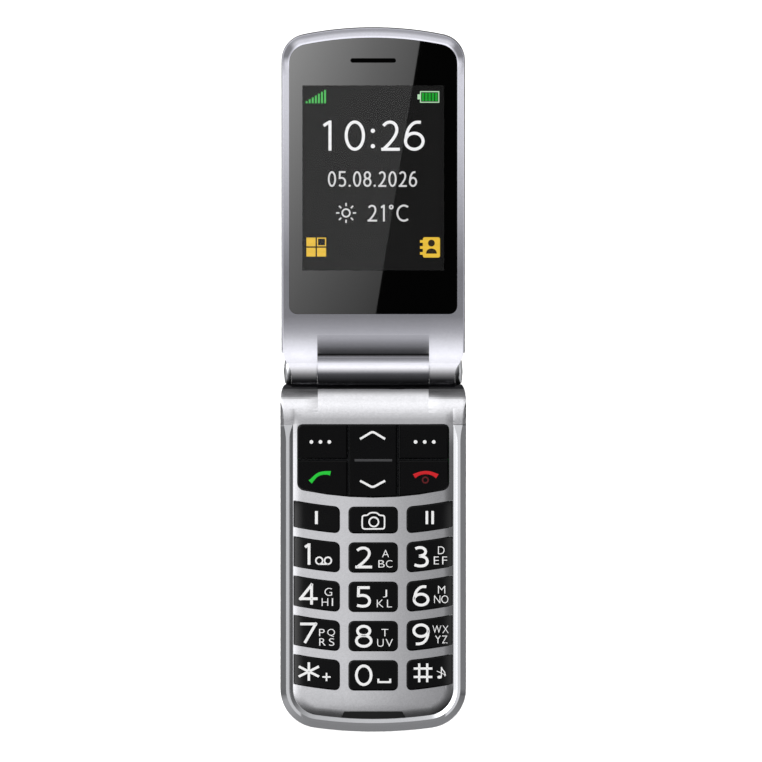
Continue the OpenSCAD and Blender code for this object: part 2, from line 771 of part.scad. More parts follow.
module shield_block(inset, top_z) {
    block(part_side - shield_w + inset, part_side - inset, board_start + 1.1 + inset,
        board_start + 1.1 + shield_len - inset, board_z - shield_h + inset, top_z);
}

// Card holder in the space beyond the battery, open towards the battery cover
module sim_block(gap, z0, z1) {
    block(-part_side - gap, sim_w - part_side + gap, battery_far + 1.5 - gap, board_end + gap,
        z0, z1);
}

module sim_holder() color(steel) in_base() difference() {
    z = rear_wall_z + 0.1;
    sim_block(0, z, z + sim_h);
    block(sim_wall - part_side, sim_w - part_side - sim_wall, battery_far + 1.5 + sim_wall,
        board_end + cut, z + sim_wall, z + sim_h - sim_wall);
}

module speaker_holes(z0, z1) {
    for (ring = [[0, 1], [2.4, 6], [4.6, 10]]) for (k = [0 : ring[1] - 1])
        post(speaker_at[0] + ring[0] * cos(360 * k / ring[1]),
            speaker_at[1] + ring[0] * sin(360 * k / ring[1]), 0.5, z0, z1);
}

module loudspeaker() color("#55575c") in_base() {
    low_z = rear_inner_z + speaker_h;
    post(speaker_at[0], speaker_at[1], speaker_r, rear_inner_z, low_z);
    post(speaker_at[0], speaker_at[1], speaker_top_r, low_z, low_z + speaker_top_h);
}

module vibration_motor() color(steel) in_base()
    post(motor_at[0], motor_at[1], motor_r, rear_inner_z, rear_inner_z + motor_h);

module microphone() color("#b7b9bd") in_base()
    post(0, board_end + mic_r, mic_r, board_top_z, board_top_z + mic_h);

module antenna() color("#6b5a3a") in_base() {
    x = part_side - 3 - antenna_w;
    block(x, x + antenna_w, battery_far + 1.5, board_end, rear_inner_z, rear_inner_z + antenna_h);
    block(x + 2.5, x + 3.5, battery_far + 3, battery_far + 4, rear_inner_z + antenna_h, board_z);
}

// Charging socket at the free end, under the board's tongue
module socket_block(gap, reach) {
    block(-socket_w / 2 - gap, socket_w / 2 + gap, base_len - 0.3 - socket_depth - gap,
        base_len - 0.3 + reach, board_z - socket_h - gap, board_z + cut * sign(reach));
}

module charging_socket() color(steel) in_base() difference() {
    union() {
        intersection() {
            socket_block(0, 0);
            block(-socket_w, socket_w, 0, base_len, 0, part_z - 0.02);
        }
        intersection() {
            socket_block(0, 0);
            block(-socket_w, socket_w, 0, tongue_end, 0, base_t);
        }
    }
    block(-socket_w / 2 + 0.3, socket_w / 2 - 0.3, base_len - socket_depth + 0.5, base_len + cut,
        board_z - socket_h + 0.3, board_z - 0.3);
}

module base_screws() color(steel) in_base() both_sides()
    for (at = [hinge_screws, end_screws]) {
        post(at[0], at[1], screw_head_r, rear_wall_z, rear_wall_z + screw_head_h);
        post(at[0], at[1], screw_r, rear_wall_z + screw_head_h - 0.1, part_z + 2);
    }

// Flexible cable from the barrel down to the main board; grow gives its channel
module base_flex_path(side, grow) {
    start = [flex_r + 0.15, axis_z];
    bend = [flex_r + 0.15, axis_z - 3];
    foot = [board_start - 1, board_top_z + 0.1];
    end = [board_start + 2, board_top_z + 0.1];
    t = flex_t / 2 + grow;
    side_prism([
        [start[0] - t, start[1]], [bend[0] - t, bend[1] - t], [foot[0], foot[1] - t],
        [end[0], end[1] - t], [end[0], end[1] + t], [foot[0] + t, foot[1] + t],
        [bend[0] + t, bend[1] + t], [start[0] + t, start[1]]],
        base_flex_x - side, base_flex_x + flex_w + side);
}

module base_flex() color("#b5651d") in_base() base_flex_path(0, 0);

// Keys --------------------------------------------------------------------------

// Cap, flange and plunger of a key in the numbered rows; column is -1, 0 or 1
module pad_key(column, t0, h) color(key_black) in_base() mirror([column < 0 ? 1 : 0, 0, 0]) {
    outer_end = plate_half_w - key_gap;
    plunger = key_plunger(abs(column), t0, h);
    if (column == 0) {
        prism(middle_cell(t0, h, -key_gap), flange_z, key_top_z);
        prism(middle_cell(t0, h, flange_w), flange_z, flange_top_z);
    } else {
        difference() {
            prism(outer_cell(t0, h, outer_end, -key_gap), flange_z, key_top_z);
            block(pad_edge, base_w, t0 - 5, t0 + h + 5, flange_z - cut, flange_top_z);
        }
        intersection() {
            prism(outer_cell(t0, h, outer_end, flange_w), flange_z, flange_top_z);
            block(0, pad_edge, t0 - 5, t0 + h + 5, flange_z - cut, flange_top_z + cut);
        }
    }
    post(plunger[0], plunger[1], plunger_r, plunger_z, flange_z + 0.1);
}

// One of the four outer keys of the navigation block; side is -1 or 1, low is 0 or 1
module cluster_key(side, low) color(key_black) in_base() mirror([side < 0 ? 1 : 0, 0, 0]) {
    x0 = key_w / 2 + key_gap / 2;
    x1 = cluster_half_w;
    t0 = low == 0 ? cluster_start : cluster_split + key_gap / 2;
    t1 = low == 0 ? cluster_split - key_gap / 2 : cluster_end;
    far_r = low == 0 ? 0 : cluster_r;
    r = low == 0 ? [0.3, key_corner_r, 0.3, 0.3] : [0.3, 0.3, 1.7, 0.3];
    plunger = plungers()[2 + low];
    wide = [x0 + key_gap, x1 + flange_w + key_gap, low == 0 ? t0 - flange_w - key_gap : t0,
        low == 0 ? t1 : t1 + flange_w + key_gap];
    prism(key_cell(x0, x1, t0, t1, r, 0, far_r, -key_gap), flange_z, key_top_z);
    intersection() {
        prism(key_cell(wide[0], wide[1], wide[2], wide[3], r, 0, far_r, -key_gap), flange_z,
            flange_top_z);
        block(0, pad_edge, sheet_start + 0.05, cluster_end + 5, 0, base_t);
    }
    post(plunger[0], plunger[1], plunger_r, plunger_z, flange_z + 0.1);
}

module navigation_rocker() color(key_black) in_base() {
    half = key_w / 2 - key_gap / 2;
    prism(key_cell(-half, half, cluster_start + 0.05, cluster_end - 0.05, [0.4, 0.4, 0.4, 0.4],
        0, cluster_r, -key_gap), flange_z, key_top_z);
    for (t = rocker_plungers()) post(0, t, plunger_r, plunger_z, flange_z + 0.1);
    // Round rib that it rocks on
    translate([-rocker_rib[0], rocker_middle(), flange_z]) rotate([0, 90, 0])
        cylinder(r = rocker_rib[1], h = 2 * rocker_rib[0]);
}

// Lid ---------------------------------------------------------------------------

module lid_envelope() {
    near = -knuckle_r - 2;
    skin(concat(
        [for (a = [0 : 18 : 90])
            [lid_back_z + lid_round_h * (1 - cos(a)),
             lid_outline(lid_round_w * (1 - sin(a)), near, lid_near_corner)]],
        [for (a = [0 : 22.5 : 90])
            [lid_top_z - rim_round_h * (1 - sin(a)),
             lid_outline(rim_round * (1 - cos(a)), near, lid_near_corner)]],
        [[axis_z + knuckle_r + 1, lid_outline(rim_round, near, lid_near_corner)]]));
}

// Side view of the lid: flat inner face, rise to the knuckles, roll on the outer face
module lid_side() {
    rise_centre = [rise_start, lid_h + rise_r];
    meet = atan2(rise_centre[1], rise_centre[0]);
    roll_centre = [roll_start, roll_r - roll_h];
    back = atan2(-roll_centre[1], -roll_centre[0]);
    knuckle_turn = meet + (360 + back - meet) % 360;
    profile = concat(
        [[lid_len + cut, lid_h]],
        arc_points(rise_centre, rise_r, rise_r, 270, 180 + meet, 14),
        arc_points([0, 0], knuckle_r, knuckle_r, meet + 5, knuckle_turn - 5, 36),
        arc_points(roll_centre, roll_r, roll_r, 360 + back, 270, 12),
        [[lid_len + cut, -roll_h]]);
    side_prism([for (p = profile) [p[0], p[1] + axis_z]], -lid_w, lid_w);
}

// Room for the base's barrel between the knuckles
module barrel_room() {
    end_a = asin((lip_start - lip_centre[0]) / lip_r);
    profile = concat(
        arc_points(lip_centre, lip_r, lip_r, 90 - end_a, 180, 16),
        [[lip_centre[0] - lip_r, -roll_h - 1], [-knuckle_r - 3, -roll_h - 1],
         [-knuckle_r - 3, knuckle_r + 2], [lip_start, knuckle_r + 2]]);
    side_prism([for (p = profile) [p[0], p[1] + axis_z]], -knuckle_start, knuckle_start);
}

// Sweep of the lid's sides in to the knuckles, outside the end caps
module corner_rooms() {
    both_sides() prism(concat(
        [[knuckle_end, -8]],
        [for (p = corner_sweep) [knuckle_end + p[0], p[1]]],
        [[lid_w, 8], [lid_w, -8]]), -cut, axis_z + knuckle_r + 2);
}

module lid_frame() color(silver) in_lid() difference() {
    intersection() {
        lid_envelope();
        lid_side();
        block(-lid_w, lid_w, -10, lid_len + cut, lid_board_z, axis_z + 10);
    }
    barrel_room();
    corner_rooms();
    both_sides() axis_rod(cap_r + shell_gap, knuckle_end, lid_w);
    prism(window_outline(0), lens_under_z, lid_top_z + cut);
    difference() {
        prism(lid_outline(shell_wall, lid_cavity_start), lid_board_z - cut, ledge_z);
        both_sides() for (at = [lid_screw_near, lid_screw_far])
            post(at[0], at[1], lid_boss_r, lid_board_z - 2 * cut, ledge_z);
    }
    block(-picture_w / 2 - 0.5, picture_w / 2 + 0.5, picture_start - 0.5,
        picture_start + picture_h + 0.5, ledge_z - cut, lens_under_z + cut);
    block(-ear_w / 2, ear_w / 2, ear_slot_t - ear_h / 2, ear_slot_t + ear_h / 2,
        ledge_z - cut, lens_under_z + cut);
    both_sides() for (at = [lid_screw_near, lid_screw_far])
        post(at[0], at[1], lid_screw_r + seat_gap, lid_board_z - cut, ledge_z - 0.4);
    axis_rod(head_r + seat_gap, -knuckle_end - cut, -knuckle_start + cut);
    axis_rod(shaft_r + seat_gap, knuckle_start - cut, knuckle_end + cut);
    lid_flex_path(0.2, 0.4);
}

module lid_rear_cover() color(charcoal) in_lid() difference() {
    intersection() {
        lid_envelope();
        lid_side();
        block(-lid_w, lid_w, -10, lid_len + cut, 0, lid_board_z);
    }
    barrel_room();
    corner_rooms();
    difference() {
        prism(lid_outline(shell_wall + 0.8, lid_cavity_start + 3), lid_inner_z, lid_board_z + cut);
        both_sides() for (at = [lid_screw_near, lid_screw_far])
            post(at[0], at[1], lid_boss_r, lid_inner_z - cut, lid_board_z + 2 * cut);
    }
    both_sides() for (at = [lid_screw_near, lid_screw_far]) {
        post(at[0], at[1], lid_screw_r + seat_gap, lid_back_z - cut, lid_board_z + cut);
        post(at[0], at[1], lid_head_r + shell_gap, lid_back_z - cut, lid_back_z + 1.6);
    }
    camera_hole(shell_gap);
}

module camera_hole(gap) {
    post(camera_x, ear_slot_t, camera_r + gap, lid_back_z - cut, lid_back_z + 0.7);
    post(camera_x, ear_slot_t, camera_r - 1.6, lid_back_z, lid_inner_z + cut);
}

module display_lens() color("#050506") in_lid() difference() {
    prism(window_outline(lens_gap), lens_under_z, lens_z);
    ear_slot(0, lens_under_z - cut, lens_z + cut);
}

// Slot with round ends
module ear_slot(inset, z0, z1) {
    half = (ear_slot_w - ear_slot_h) / 2;
    r = ear_slot_h / 2 - inset;
    block(-half, half, ear_slot_t - r, ear_slot_t + r, z0, z1);
    for (x = [-half, half]) post(x, ear_slot_t, r, z0, z1);
}

module display_module() color("#26282b") in_lid() {
    block(-picture_w / 2 - display_margin[0], picture_w / 2 + display_margin[0],
        picture_start - display_margin[1], picture_start + picture_h + display_margin[2],
        display_z, display_top_z);
    block(-picture_w / 2 - 0.3, picture_w / 2 + 0.3, picture_start - 0.3,
        picture_start + picture_h + 0.3, display_top_z - 0.1, lens_under_z - 0.05);
}

module earpiece() color("#55575c") in_lid()
    block(-ear_w / 2 + 0.2, ear_w / 2 - 0.2, ear_slot_t - ear_h / 2 + 0.2,
        ear_slot_t + ear_h / 2 - 0.2, ledge_z - 1.6, lens_under_z - 0.1);

module earpiece_mesh() color("#101012") in_lid()
    ear_slot(seat_gap, lens_under_z - 0.1, lens_z - 0.25);

module lid_board() color("#1f5a3a") in_lid()
    block(lid_board_side - lid_w / 2, lid_w / 2 - lid_board_side, lid_board_start,
        picture_start + picture_h + 0.2, lid_board_z, lid_board_top_z);

module camera_module() color("#2b2d31") in_lid() {
    half = camera_r - 0.2;
    post(camera_x, ear_slot_t, camera_r - 1.8, lid_back_z + 0.8, lid_inner_z + 0.1);
    block(camera_x - half, camera_x + half, ear_slot_t - half, ear_slot_t + half,
        lid_inner_z + 0.1, lid_inner_z + 4.4);
}

module camera_window() color("#08090c") in_lid()
    post(camera_x, ear_slot_t, camera_r, lid_back_z, lid_back_z + 0.6);

module closing_magnet() color(steel) in_lid()
    block(-magnet_w / 2, magnet_w / 2, lid_cavity_start + 1, lid_cavity_start + 1 + magnet_h,
        ledge_z - 2.1, ledge_z - 0.1);

module lid_screws() color(steel) in_lid() both_sides()
    for (at = [lid_screw_near, lid_screw_far]) {
        post(at[0], at[1], lid_head_r, lid_back_z + 0.8, lid_back_z + 1.6);
        post(at[0], at[1], lid_screw_r, lid_back_z + 1.5, ledge_z - 0.6);
    }

module lid_screw_plugs() color(charcoal) in_lid() both_sides()
    for (at = [lid_screw_near, lid_screw_far])
        post(at[0], at[1], lid_head_r, lid_back_z + 0.05, lid_back_z + 0.7);

// Hinge -------------------------------------------------------------------------

// Click module: a case in the barrel, a cam follower and a spring, and the lid's cam head
module hinge_module() color(steel) in_base() difference() {
    axis_rod(module_r, -barrel_half, module_end - 0.1);
    axis_rod(stub_r + run_gap, -barrel_half - cut, -barrel_half + 1.5);
    axis_rod(module_r - module_wall, -barrel_half + 1.2, module_end - 1);
}

module hinge_follower() color(chrome) in_base()
    axis_rod(module_r - module_wall - 0.05, follower_x, follower_x + 2);

// Compression spring behind the follower
module hinge_spring() color(steel) in_base() {
    wire_r = 0.25;
    coil_r = module_r - module_wall - wire_r - 0.15;
    turns = 5;
    start_x = follower_x + 2.05 + wire_r;
    end_x = module_end - 1.05 - wire_r;
    steps = turns * 12;
    sides = 6;
    ring = [for (k = [0 : steps]) for (j = [0 : sides - 1])
        let (a = 360 * turns * k / steps, b = 360 * j / sides,
             r = coil_r + wire_r * cos(b), x = start_x + (end_x - start_x) * k / steps
                 + wire_r * sin(b))
        [x, r * cos(a), axis_z + r * sin(a)]];
    polyhedron(points = ring, faces = concat(
        [[for (j = [0 : sides - 1]) j]],
        [[for (j = [sides - 1 : -1 : 0]) steps * sides + j]],
        [for (k = [0 : steps - 1]) for (j = [0 : sides - 1])
            let (p = k * sides + j, q = k * sides + (j + 1) % sides)
                [p, p + sides, q + sides, q]]));
}

module hinge_cam_head() color(chrome) in_lid() {
    axis_rod(head_r, -knuckle_end + 0.1, -knuckle_start);
    axis_rod(stub_r, -knuckle_start - 0.1, follower_x - 0.05);
}

module hinge_shaft() color(steel) in_lid() difference() {
    axis_rod(shaft_r, shaft_start + 0.1, knuckle_end - 0.1);
    axis_rod(shaft_bore_r, shaft_start - cut, knuckle_end + cut);
    lid_flex_path(0.2, 0.4);
}

// Flexible cable: rolled up inside the hinge, with a tail down to the lid's board
module lid_flex_path(side, grow) {
    t = flex_t / 2 + grow;
    start = [flex_r - 0.1, axis_z];
    foot = [lid_cavity_start + 1.5, lid_board_top_z + 0.1];
    end = [picture_start - 7, lid_board_top_z + 0.1];
    side_prism([
        [start[0], start[1] - t], [foot[0] - t, foot[1] - t], [end[0], end[1] - t],
        [end[0], end[1] + t], [foot[0], foot[1] + t], [start[0], start[1] + t]],
        lid_flex_x - side, lid_flex_x + lid_flex_w + side);
}

module lid_flex() color("#b5651d") in_lid() {
    axis_rod(flex_r, base_flex_x - 1, lid_flex_x + lid_flex_w + 1);
    lid_flex_path(0, 0);
}

// Domed covers on the outer faces of the knuckles
module hinge_caps() color(chrome) in_lid() both_sides()
    translate([knuckle_end + 0.02, 0, axis_z]) rotate([0, 90, 0])
        rotate_extrude() polygon(concat(
            [[0, 0], [cap_r, 0]],
            arc_points([cap_r - 1.6, 0.4], 1.6, cap_t - 0.6, 0, 90, 6),
            [[0, cap_t]]));

keypad_plate();
base_trim();
slot_insert();
rear_housing();
battery_cover();
battery();
battery_contacts();
main_board();
dome_sheet();
keymat();
rf_shield();
sim_holder();
loudspeaker();
vibration_motor();
microphone();
antenna();
charging_socket();
base_screws();
hinge_module();
hinge_follower();
hinge_spring();
base_flex();
cluster_key(-1, 0);  // softkey_left
cluster_key(1, 0);  // softkey_right
cluster_key(-1, 1);  // call_key
cluster_key(1, 1);  // end_key
navigation_rocker();
pad_key(-1, memory_row_t, memory_key_h);  // memory_key_1
pad_key(0, memory_row_t, memory_key_h);  // camera_key
pad_key(1, memory_row_t, memory_key_h);  // memory_key_2
pad_key(-1, number_row_t(0), key_h);  // key_1
pad_key(0, number_row_t(0), key_h);  // key_2
pad_key(1, number_row_t(0), key_h);  // key_3
pad_key(-1, number_row_t(1), key_h);  // key_4
pad_key(0, number_row_t(1), key_h);  // key_5
pad_key(1, number_row_t(1), key_h);  // key_6
pad_key(-1, number_row_t(2), key_h);  // key_7
pad_key(0, number_row_t(2), key_h);  // key_8
pad_key(1, number_row_t(2), key_h);  // key_9
pad_key(-1, number_row_t(3), key_h);  // key_star
pad_key(0, number_row_t(3), key_h);  // key_0
pad_key(1, number_row_t(3), key_h);  // key_hash
lid_frame();
lid_rear_cover();
display_lens();
display_module();
earpiece();
earpiece_mesh();
lid_board();
camera_module();
camera_window();
closing_magnet();
lid_screws();
lid_screw_plugs();
lid_flex();
hinge_cam_head();
hinge_shaft();
hinge_caps();
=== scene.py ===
"""Looks of a clamshell phone with big keys, lying open on its back.

X runs to the right, Y towards the free end of the lid and Z up. Sizes in the classes are in
millimetres; meshes are in metres. Each finished piece sits at the origin with its place in
its mesh.
"""
import logging
import math
from collections.abc import Callable, Iterable, Iterator
from contextlib import contextmanager
from dataclasses import dataclass, field
from enum import Enum

import bmesh
import bpy
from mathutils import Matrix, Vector


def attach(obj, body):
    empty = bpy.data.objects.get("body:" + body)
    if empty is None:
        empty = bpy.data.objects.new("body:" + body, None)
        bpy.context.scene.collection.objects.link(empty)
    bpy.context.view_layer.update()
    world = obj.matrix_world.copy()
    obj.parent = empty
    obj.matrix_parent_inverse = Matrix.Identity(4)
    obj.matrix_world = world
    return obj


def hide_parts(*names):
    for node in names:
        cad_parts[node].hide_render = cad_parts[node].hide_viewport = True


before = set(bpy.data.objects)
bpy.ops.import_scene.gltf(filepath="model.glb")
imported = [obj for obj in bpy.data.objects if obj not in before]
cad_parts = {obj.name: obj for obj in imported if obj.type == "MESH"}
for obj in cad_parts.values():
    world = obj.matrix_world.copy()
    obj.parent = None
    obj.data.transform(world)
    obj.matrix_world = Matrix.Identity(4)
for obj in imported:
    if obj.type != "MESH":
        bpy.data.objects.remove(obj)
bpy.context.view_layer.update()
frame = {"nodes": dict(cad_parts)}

# One millimetre in metres.
MM = 0.001
# Y of the hinge's axis in the frame.
HINGE_Y = 2.2
# Corners of the solids' loose triangles that lie this near become one, in millimetres.
MERGE = 0.002
# Points this near a level count as on it, in millimetres.
NEAR = 0.1
# Neighbouring triangles up to this angle, in degrees, become one face.
FLAT_ANGLE = 0.4
# Edges of the shells from this angle on are rounded, in degrees.
SHARP_ANGLE = 35
# Faces of the shells that meet at up to this angle look smooth.
SMOOTH_ANGLE = 30
LOG = logging.getLogger("phone")

Point = tuple[float, float]
Place = tuple[float, float, float]
Stops = tuple[Point, ...]
Piece = bpy.types.Object
Tree = bpy.types.NodeTree
Socket = bpy.types.NodeSocket


# Small tools ---------------------------------------------------------------------


def linear(code: str) -> tuple[float, float, float, float]:
    """Turns an sRGB hex colour into linear RGBA.

    Args:
        code: the colour as six hex digits.

    Returns:
        Linear red, green and blue, and an alpha of 1.
    """
    parts = [int(code[i : i + 2], 16) / 255 for i in (0, 2, 4)]
    red, green, blue = (
        p / 12.92 if p <= 0.04045 else ((p + 0.055) / 1.055) ** 2.4 for p in parts
    )
    return red, green, blue, 1.0


def add_node(
    tree: Tree, kind: str, inputs: dict | None = None, **settings: str | int | bool
) -> bpy.types.Node:
    """Adds a shader node.

    Args:
        tree: the node tree that gets it.
        kind: the node's type.
        inputs: input name or number to a value, or to the output socket that feeds it.
        settings: the node's own properties.

    Returns:
        The new node.
    """
    node = tree.nodes.new(kind)
    for name, value in settings.items():
        setattr(node, name, value)
    for name, value in (inputs or {}).items():
        if isinstance(value, Socket):
            tree.links.new(value, node.inputs[name])
        else:
            node.inputs[name].default_value = value
    return node


def first_output(tree: Tree, kind: str, inputs: dict, **settings: str | int | bool) -> Socket:
    """Adds a shader node, as add_node does, and returns its first output."""
    return add_node(tree, kind, inputs, **settings).outputs[0]


def make_material(name: str, wire: Callable[[Tree], bpy.types.Node]) -> bpy.types.Material:
    """Makes a material, or finds the one of that name that was made before.

    Args:
        name: its name.
        wire: adds the material's nodes and returns the shader.

    Returns:
        The material.
    """
    known = bpy.data.materials.get(name)
    if known:
        return known
    material = bpy.data.materials.new(name)
    material.use_nodes = True
    tree = material.node_tree
    tree.nodes.clear()
    shader = wire(tree)
    add_node(tree, "ShaderNodeOutputMaterial", {"Surface": shader.outputs["BSDF"]})
    return material


def per_mm(size: float) -> float:
    """Pattern scale, per metre, that repeats every size millimetres."""
    return 1 / (size * MM)


def select_only(*pieces: Piece) -> None:
    """Selects only these objects and makes the first one active.

    Args:
        pieces: the objects.
    """
    bpy.ops.object.select_all(action="DESELECT")
    for piece in pieces:
        piece.select_set(True)
    bpy.context.view_layer.objects.active = pieces[0]


@contextmanager
def editing(piece: Piece) -> Iterator[None]:
    """Keeps a piece selected and in edit mode for a while."""
    select_only(piece)
    bpy.ops.object.mode_set(mode="EDIT")
    yield
    bpy.ops.object.mode_set(mode="OBJECT")


def edit_select(piece: Piece, kind: str, test: Callable) -> int:
    """Selects mesh elements of a piece that is in edit mode.

    Args:
        piece: the object being edited.
        kind: "EDGE" or "FACE".
        test: takes a bmesh element and says whether it is selected.

    Returns:
        How many elements are selected.
    """
    bpy.ops.mesh.select_mode(type=kind)
    bpy.ops.mesh.select_all(action="DESELECT")
    mesh = bmesh.from_edit_mesh(piece.data)
    elements = {"EDGE": mesh.edges, "FACE": mesh.faces}[kind]
    chosen = [element for element in elements if test(element)]
    for element in chosen:
        element.select_set(True)
    mesh.select_flush_mode()
    bmesh.update_edit_mesh(piece.data)
    return len(chosen)


def move_points(piece: Piece, move: Callable[[Vector], Vector]) -> None:
    """Sends each mesh point of a piece through a function.

    Args:
        piece: the mesh object.
        move: takes a point in millimetres and gives its new place.
    """
    for vertex in piece.data.vertices:
        vertex.co = move(vertex.co / MM) * MM
    piece.data.update()


def between(stops: Stops, value: float) -> float:
    """Reads a level off the straight lines between stops.

    Args:
        stops: pairs of a value and its level, with values that rise.
        value: where the level is read.

    Returns:
        The level there.
    """
    for (a, low), (b, high) in zip(stops, stops[1:]):
        if value <= b:
            return low + (high - low) * max(value - a, 0.0) / (b - a)
    return stops[-1][1]


def smooth(share: float) -> float:
    """Eases a share from 0 to 1, with flat ends."""
    share = min(max(share, 0.0), 1.0)
    return share * share * (3 - 2 * share)


def place_in_mesh(piece: Piece) -> None:
    """Moves a piece's place, turn and scale from the object into its mesh."""
    select_only(piece)
    bpy.ops.object.transform_apply(location=True, rotation=True, scale=True)


def finish_mesh(piece: Piece, angle: float) -> None:
    """Makes a piece's faces point outwards and shades it smooth up to an angle.

    Args:
        piece: the mesh object.
        angle: the largest angle between faces, in degrees, that looks smooth.
    """
    with editing(piece):
        bpy.ops.mesh.select_all(action="SELECT")
        bpy.ops.mesh.normals_make_consistent(inside=False)
    shade(piece, angle)


def shade(piece: Piece, angle: float) -> None:
    """Shades a piece smooth up to an angle and keeps its flat faces flat.

    Args:
        piece: the mesh object.
        angle: the largest angle between faces, in degrees, that looks smooth.
    """
    select_only(piece)
    bpy.ops.object.shade_smooth_by_angle(angle=math.radians(angle))
    bpy.ops.object.modifier_add(type="WEIGHTED_NORMAL")
    weighted = piece.modifiers[-1]
    weighted.keep_sharp = True
    weighted.weight = 100
    bpy.ops.object.modifier_apply(modifier=weighted.name)


def dress(piece: Piece, material: bpy.types.Material) -> None:
    """Gives a piece its material, in place of any that it had."""
    piece.data.materials.clear()
    piece.data.materials.append(material)


def block(name: str, x: Point, y: Point, z: Point) -> Piece:
    """Adds a block.

    Args:
        name: its name.
        x: its reach along X, in millimetres.
        y: its reach along Y.
        z: its reach along Z.

    Returns:
        The block.
    """
    centre = [(a + b) / 2 * MM for a, b in (x, y, z)]
    size = [(b - a) * MM for a, b in (x, y, z)]
    bpy.ops.object.select_all(action="DESELECT")
    bpy.ops.mesh.primitive_cube_add(size=1, location=centre, scale=size)
    piece = bpy.context.active_object
    piece.name = piece.data.name = name
    place_in_mesh(piece)
    return piece


def bevel_edges(piece: Piece, test: Callable, width: float, segments: int) -> None:
    """Rounds some edges of a piece.

    Args:
        piece: the mesh object.
        test: takes a bmesh edge and says whether it is rounded.
        width: the bevel's width in millimetres.
        segments: how many faces the bevel gets.
    """
    with editing(piece):
        if edit_select(piece, "EDGE", test):
            bpy.ops.mesh.bevel(
                offset=width * MM, offset_type="OFFSET", segments=segments, profile=0.5,
                affect="EDGES", clamp_overlap=False,
            )


def slice_along(
    piece: Piece, axis: int, places: Iterable[float], test: Callable | None = None
) -> None:
    """Cuts new edge loops across a piece.

    Args:
        piece: the mesh object.
        axis: 0, 1 or 2 for cuts across X, Y or Z.
        places: where the cuts are, in millimetres.
        test: takes a face's middle, in millimetres, and says whether it is cut; without a
            test all faces are.
    """
    normal = [float(axis == k) for k in range(3)]
    with editing(piece):
        for place in places:
            if test:
                edit_select(piece, "FACE", lambda f: test(f.calc_center_bounds() / MM))
            else:
                bpy.ops.mesh.select_all(action="SELECT")
            point = [place * MM * share for share in normal]
            bpy.ops.mesh.bisect(plane_co=point, plane_no=normal, use_fill=False)


def join(pieces: list[Piece], name: str) -> Piece:
    """Joins pieces into the first one.

    Args:
        pieces: the mesh objects.
        name: the new name.

    Returns:
        The joined piece.
    """
    select_only(*pieces)
    if len(pieces) > 1:
        bpy.ops.object.join()
    piece = bpy.context.active_object
    piece.name = piece.data.name = name
    return piece


def clean_copy(node: str, name: str) -> Piece:
    """Copies a solid of the frame and merges its loose triangles into clean faces.

    Args:
        node: the frame's node.
        name: the new piece's name.

    Returns:
        The new piece.
    """
    source = frame["nodes"][node]
    piece = bpy.data.objects.new(name, source.data.copy())
    piece.data.name = name
    bpy.context.scene.collection.objects.link(piece)
    select_only(piece)
    if piece.data.has_custom_normals:
        bpy.ops.mesh.customdata_custom_splitnormals_clear()
    with editing(piece):
        bpy.ops.mesh.select_all(action="SELECT")
        bpy.ops.mesh.remove_doubles(threshold=MERGE * MM)
        bpy.ops.mesh.dissolve_limited(angle_limit=math.radians(FLAT_ANGLE))
    return piece


def soften(piece: Piece, edge: float) -> None:
    """Rounds a piece's sharp edges a little and shades it.

    Args:
        piece: the mesh object.
        edge: the width of the soft edges in millimetres; none when 0.
    """
    select_only(piece)
    if edge > 0:
        bpy.ops.object.modifier_add(type="BEVEL")
        bevel = piece.modifiers[-1]
        bevel.width = edge * MM
        bevel.segments = 2
        bevel.limit_method = "ANGLE"
        bevel.angle_limit = math.radians(SHARP_ANGLE)
        bevel.use_clamp_overlap = True
        bpy.ops.object.modifier_apply(modifier=bevel.name)
    shade(piece, SMOOTH_ANGLE)


# Finishes ------------------------------------------------------------------------


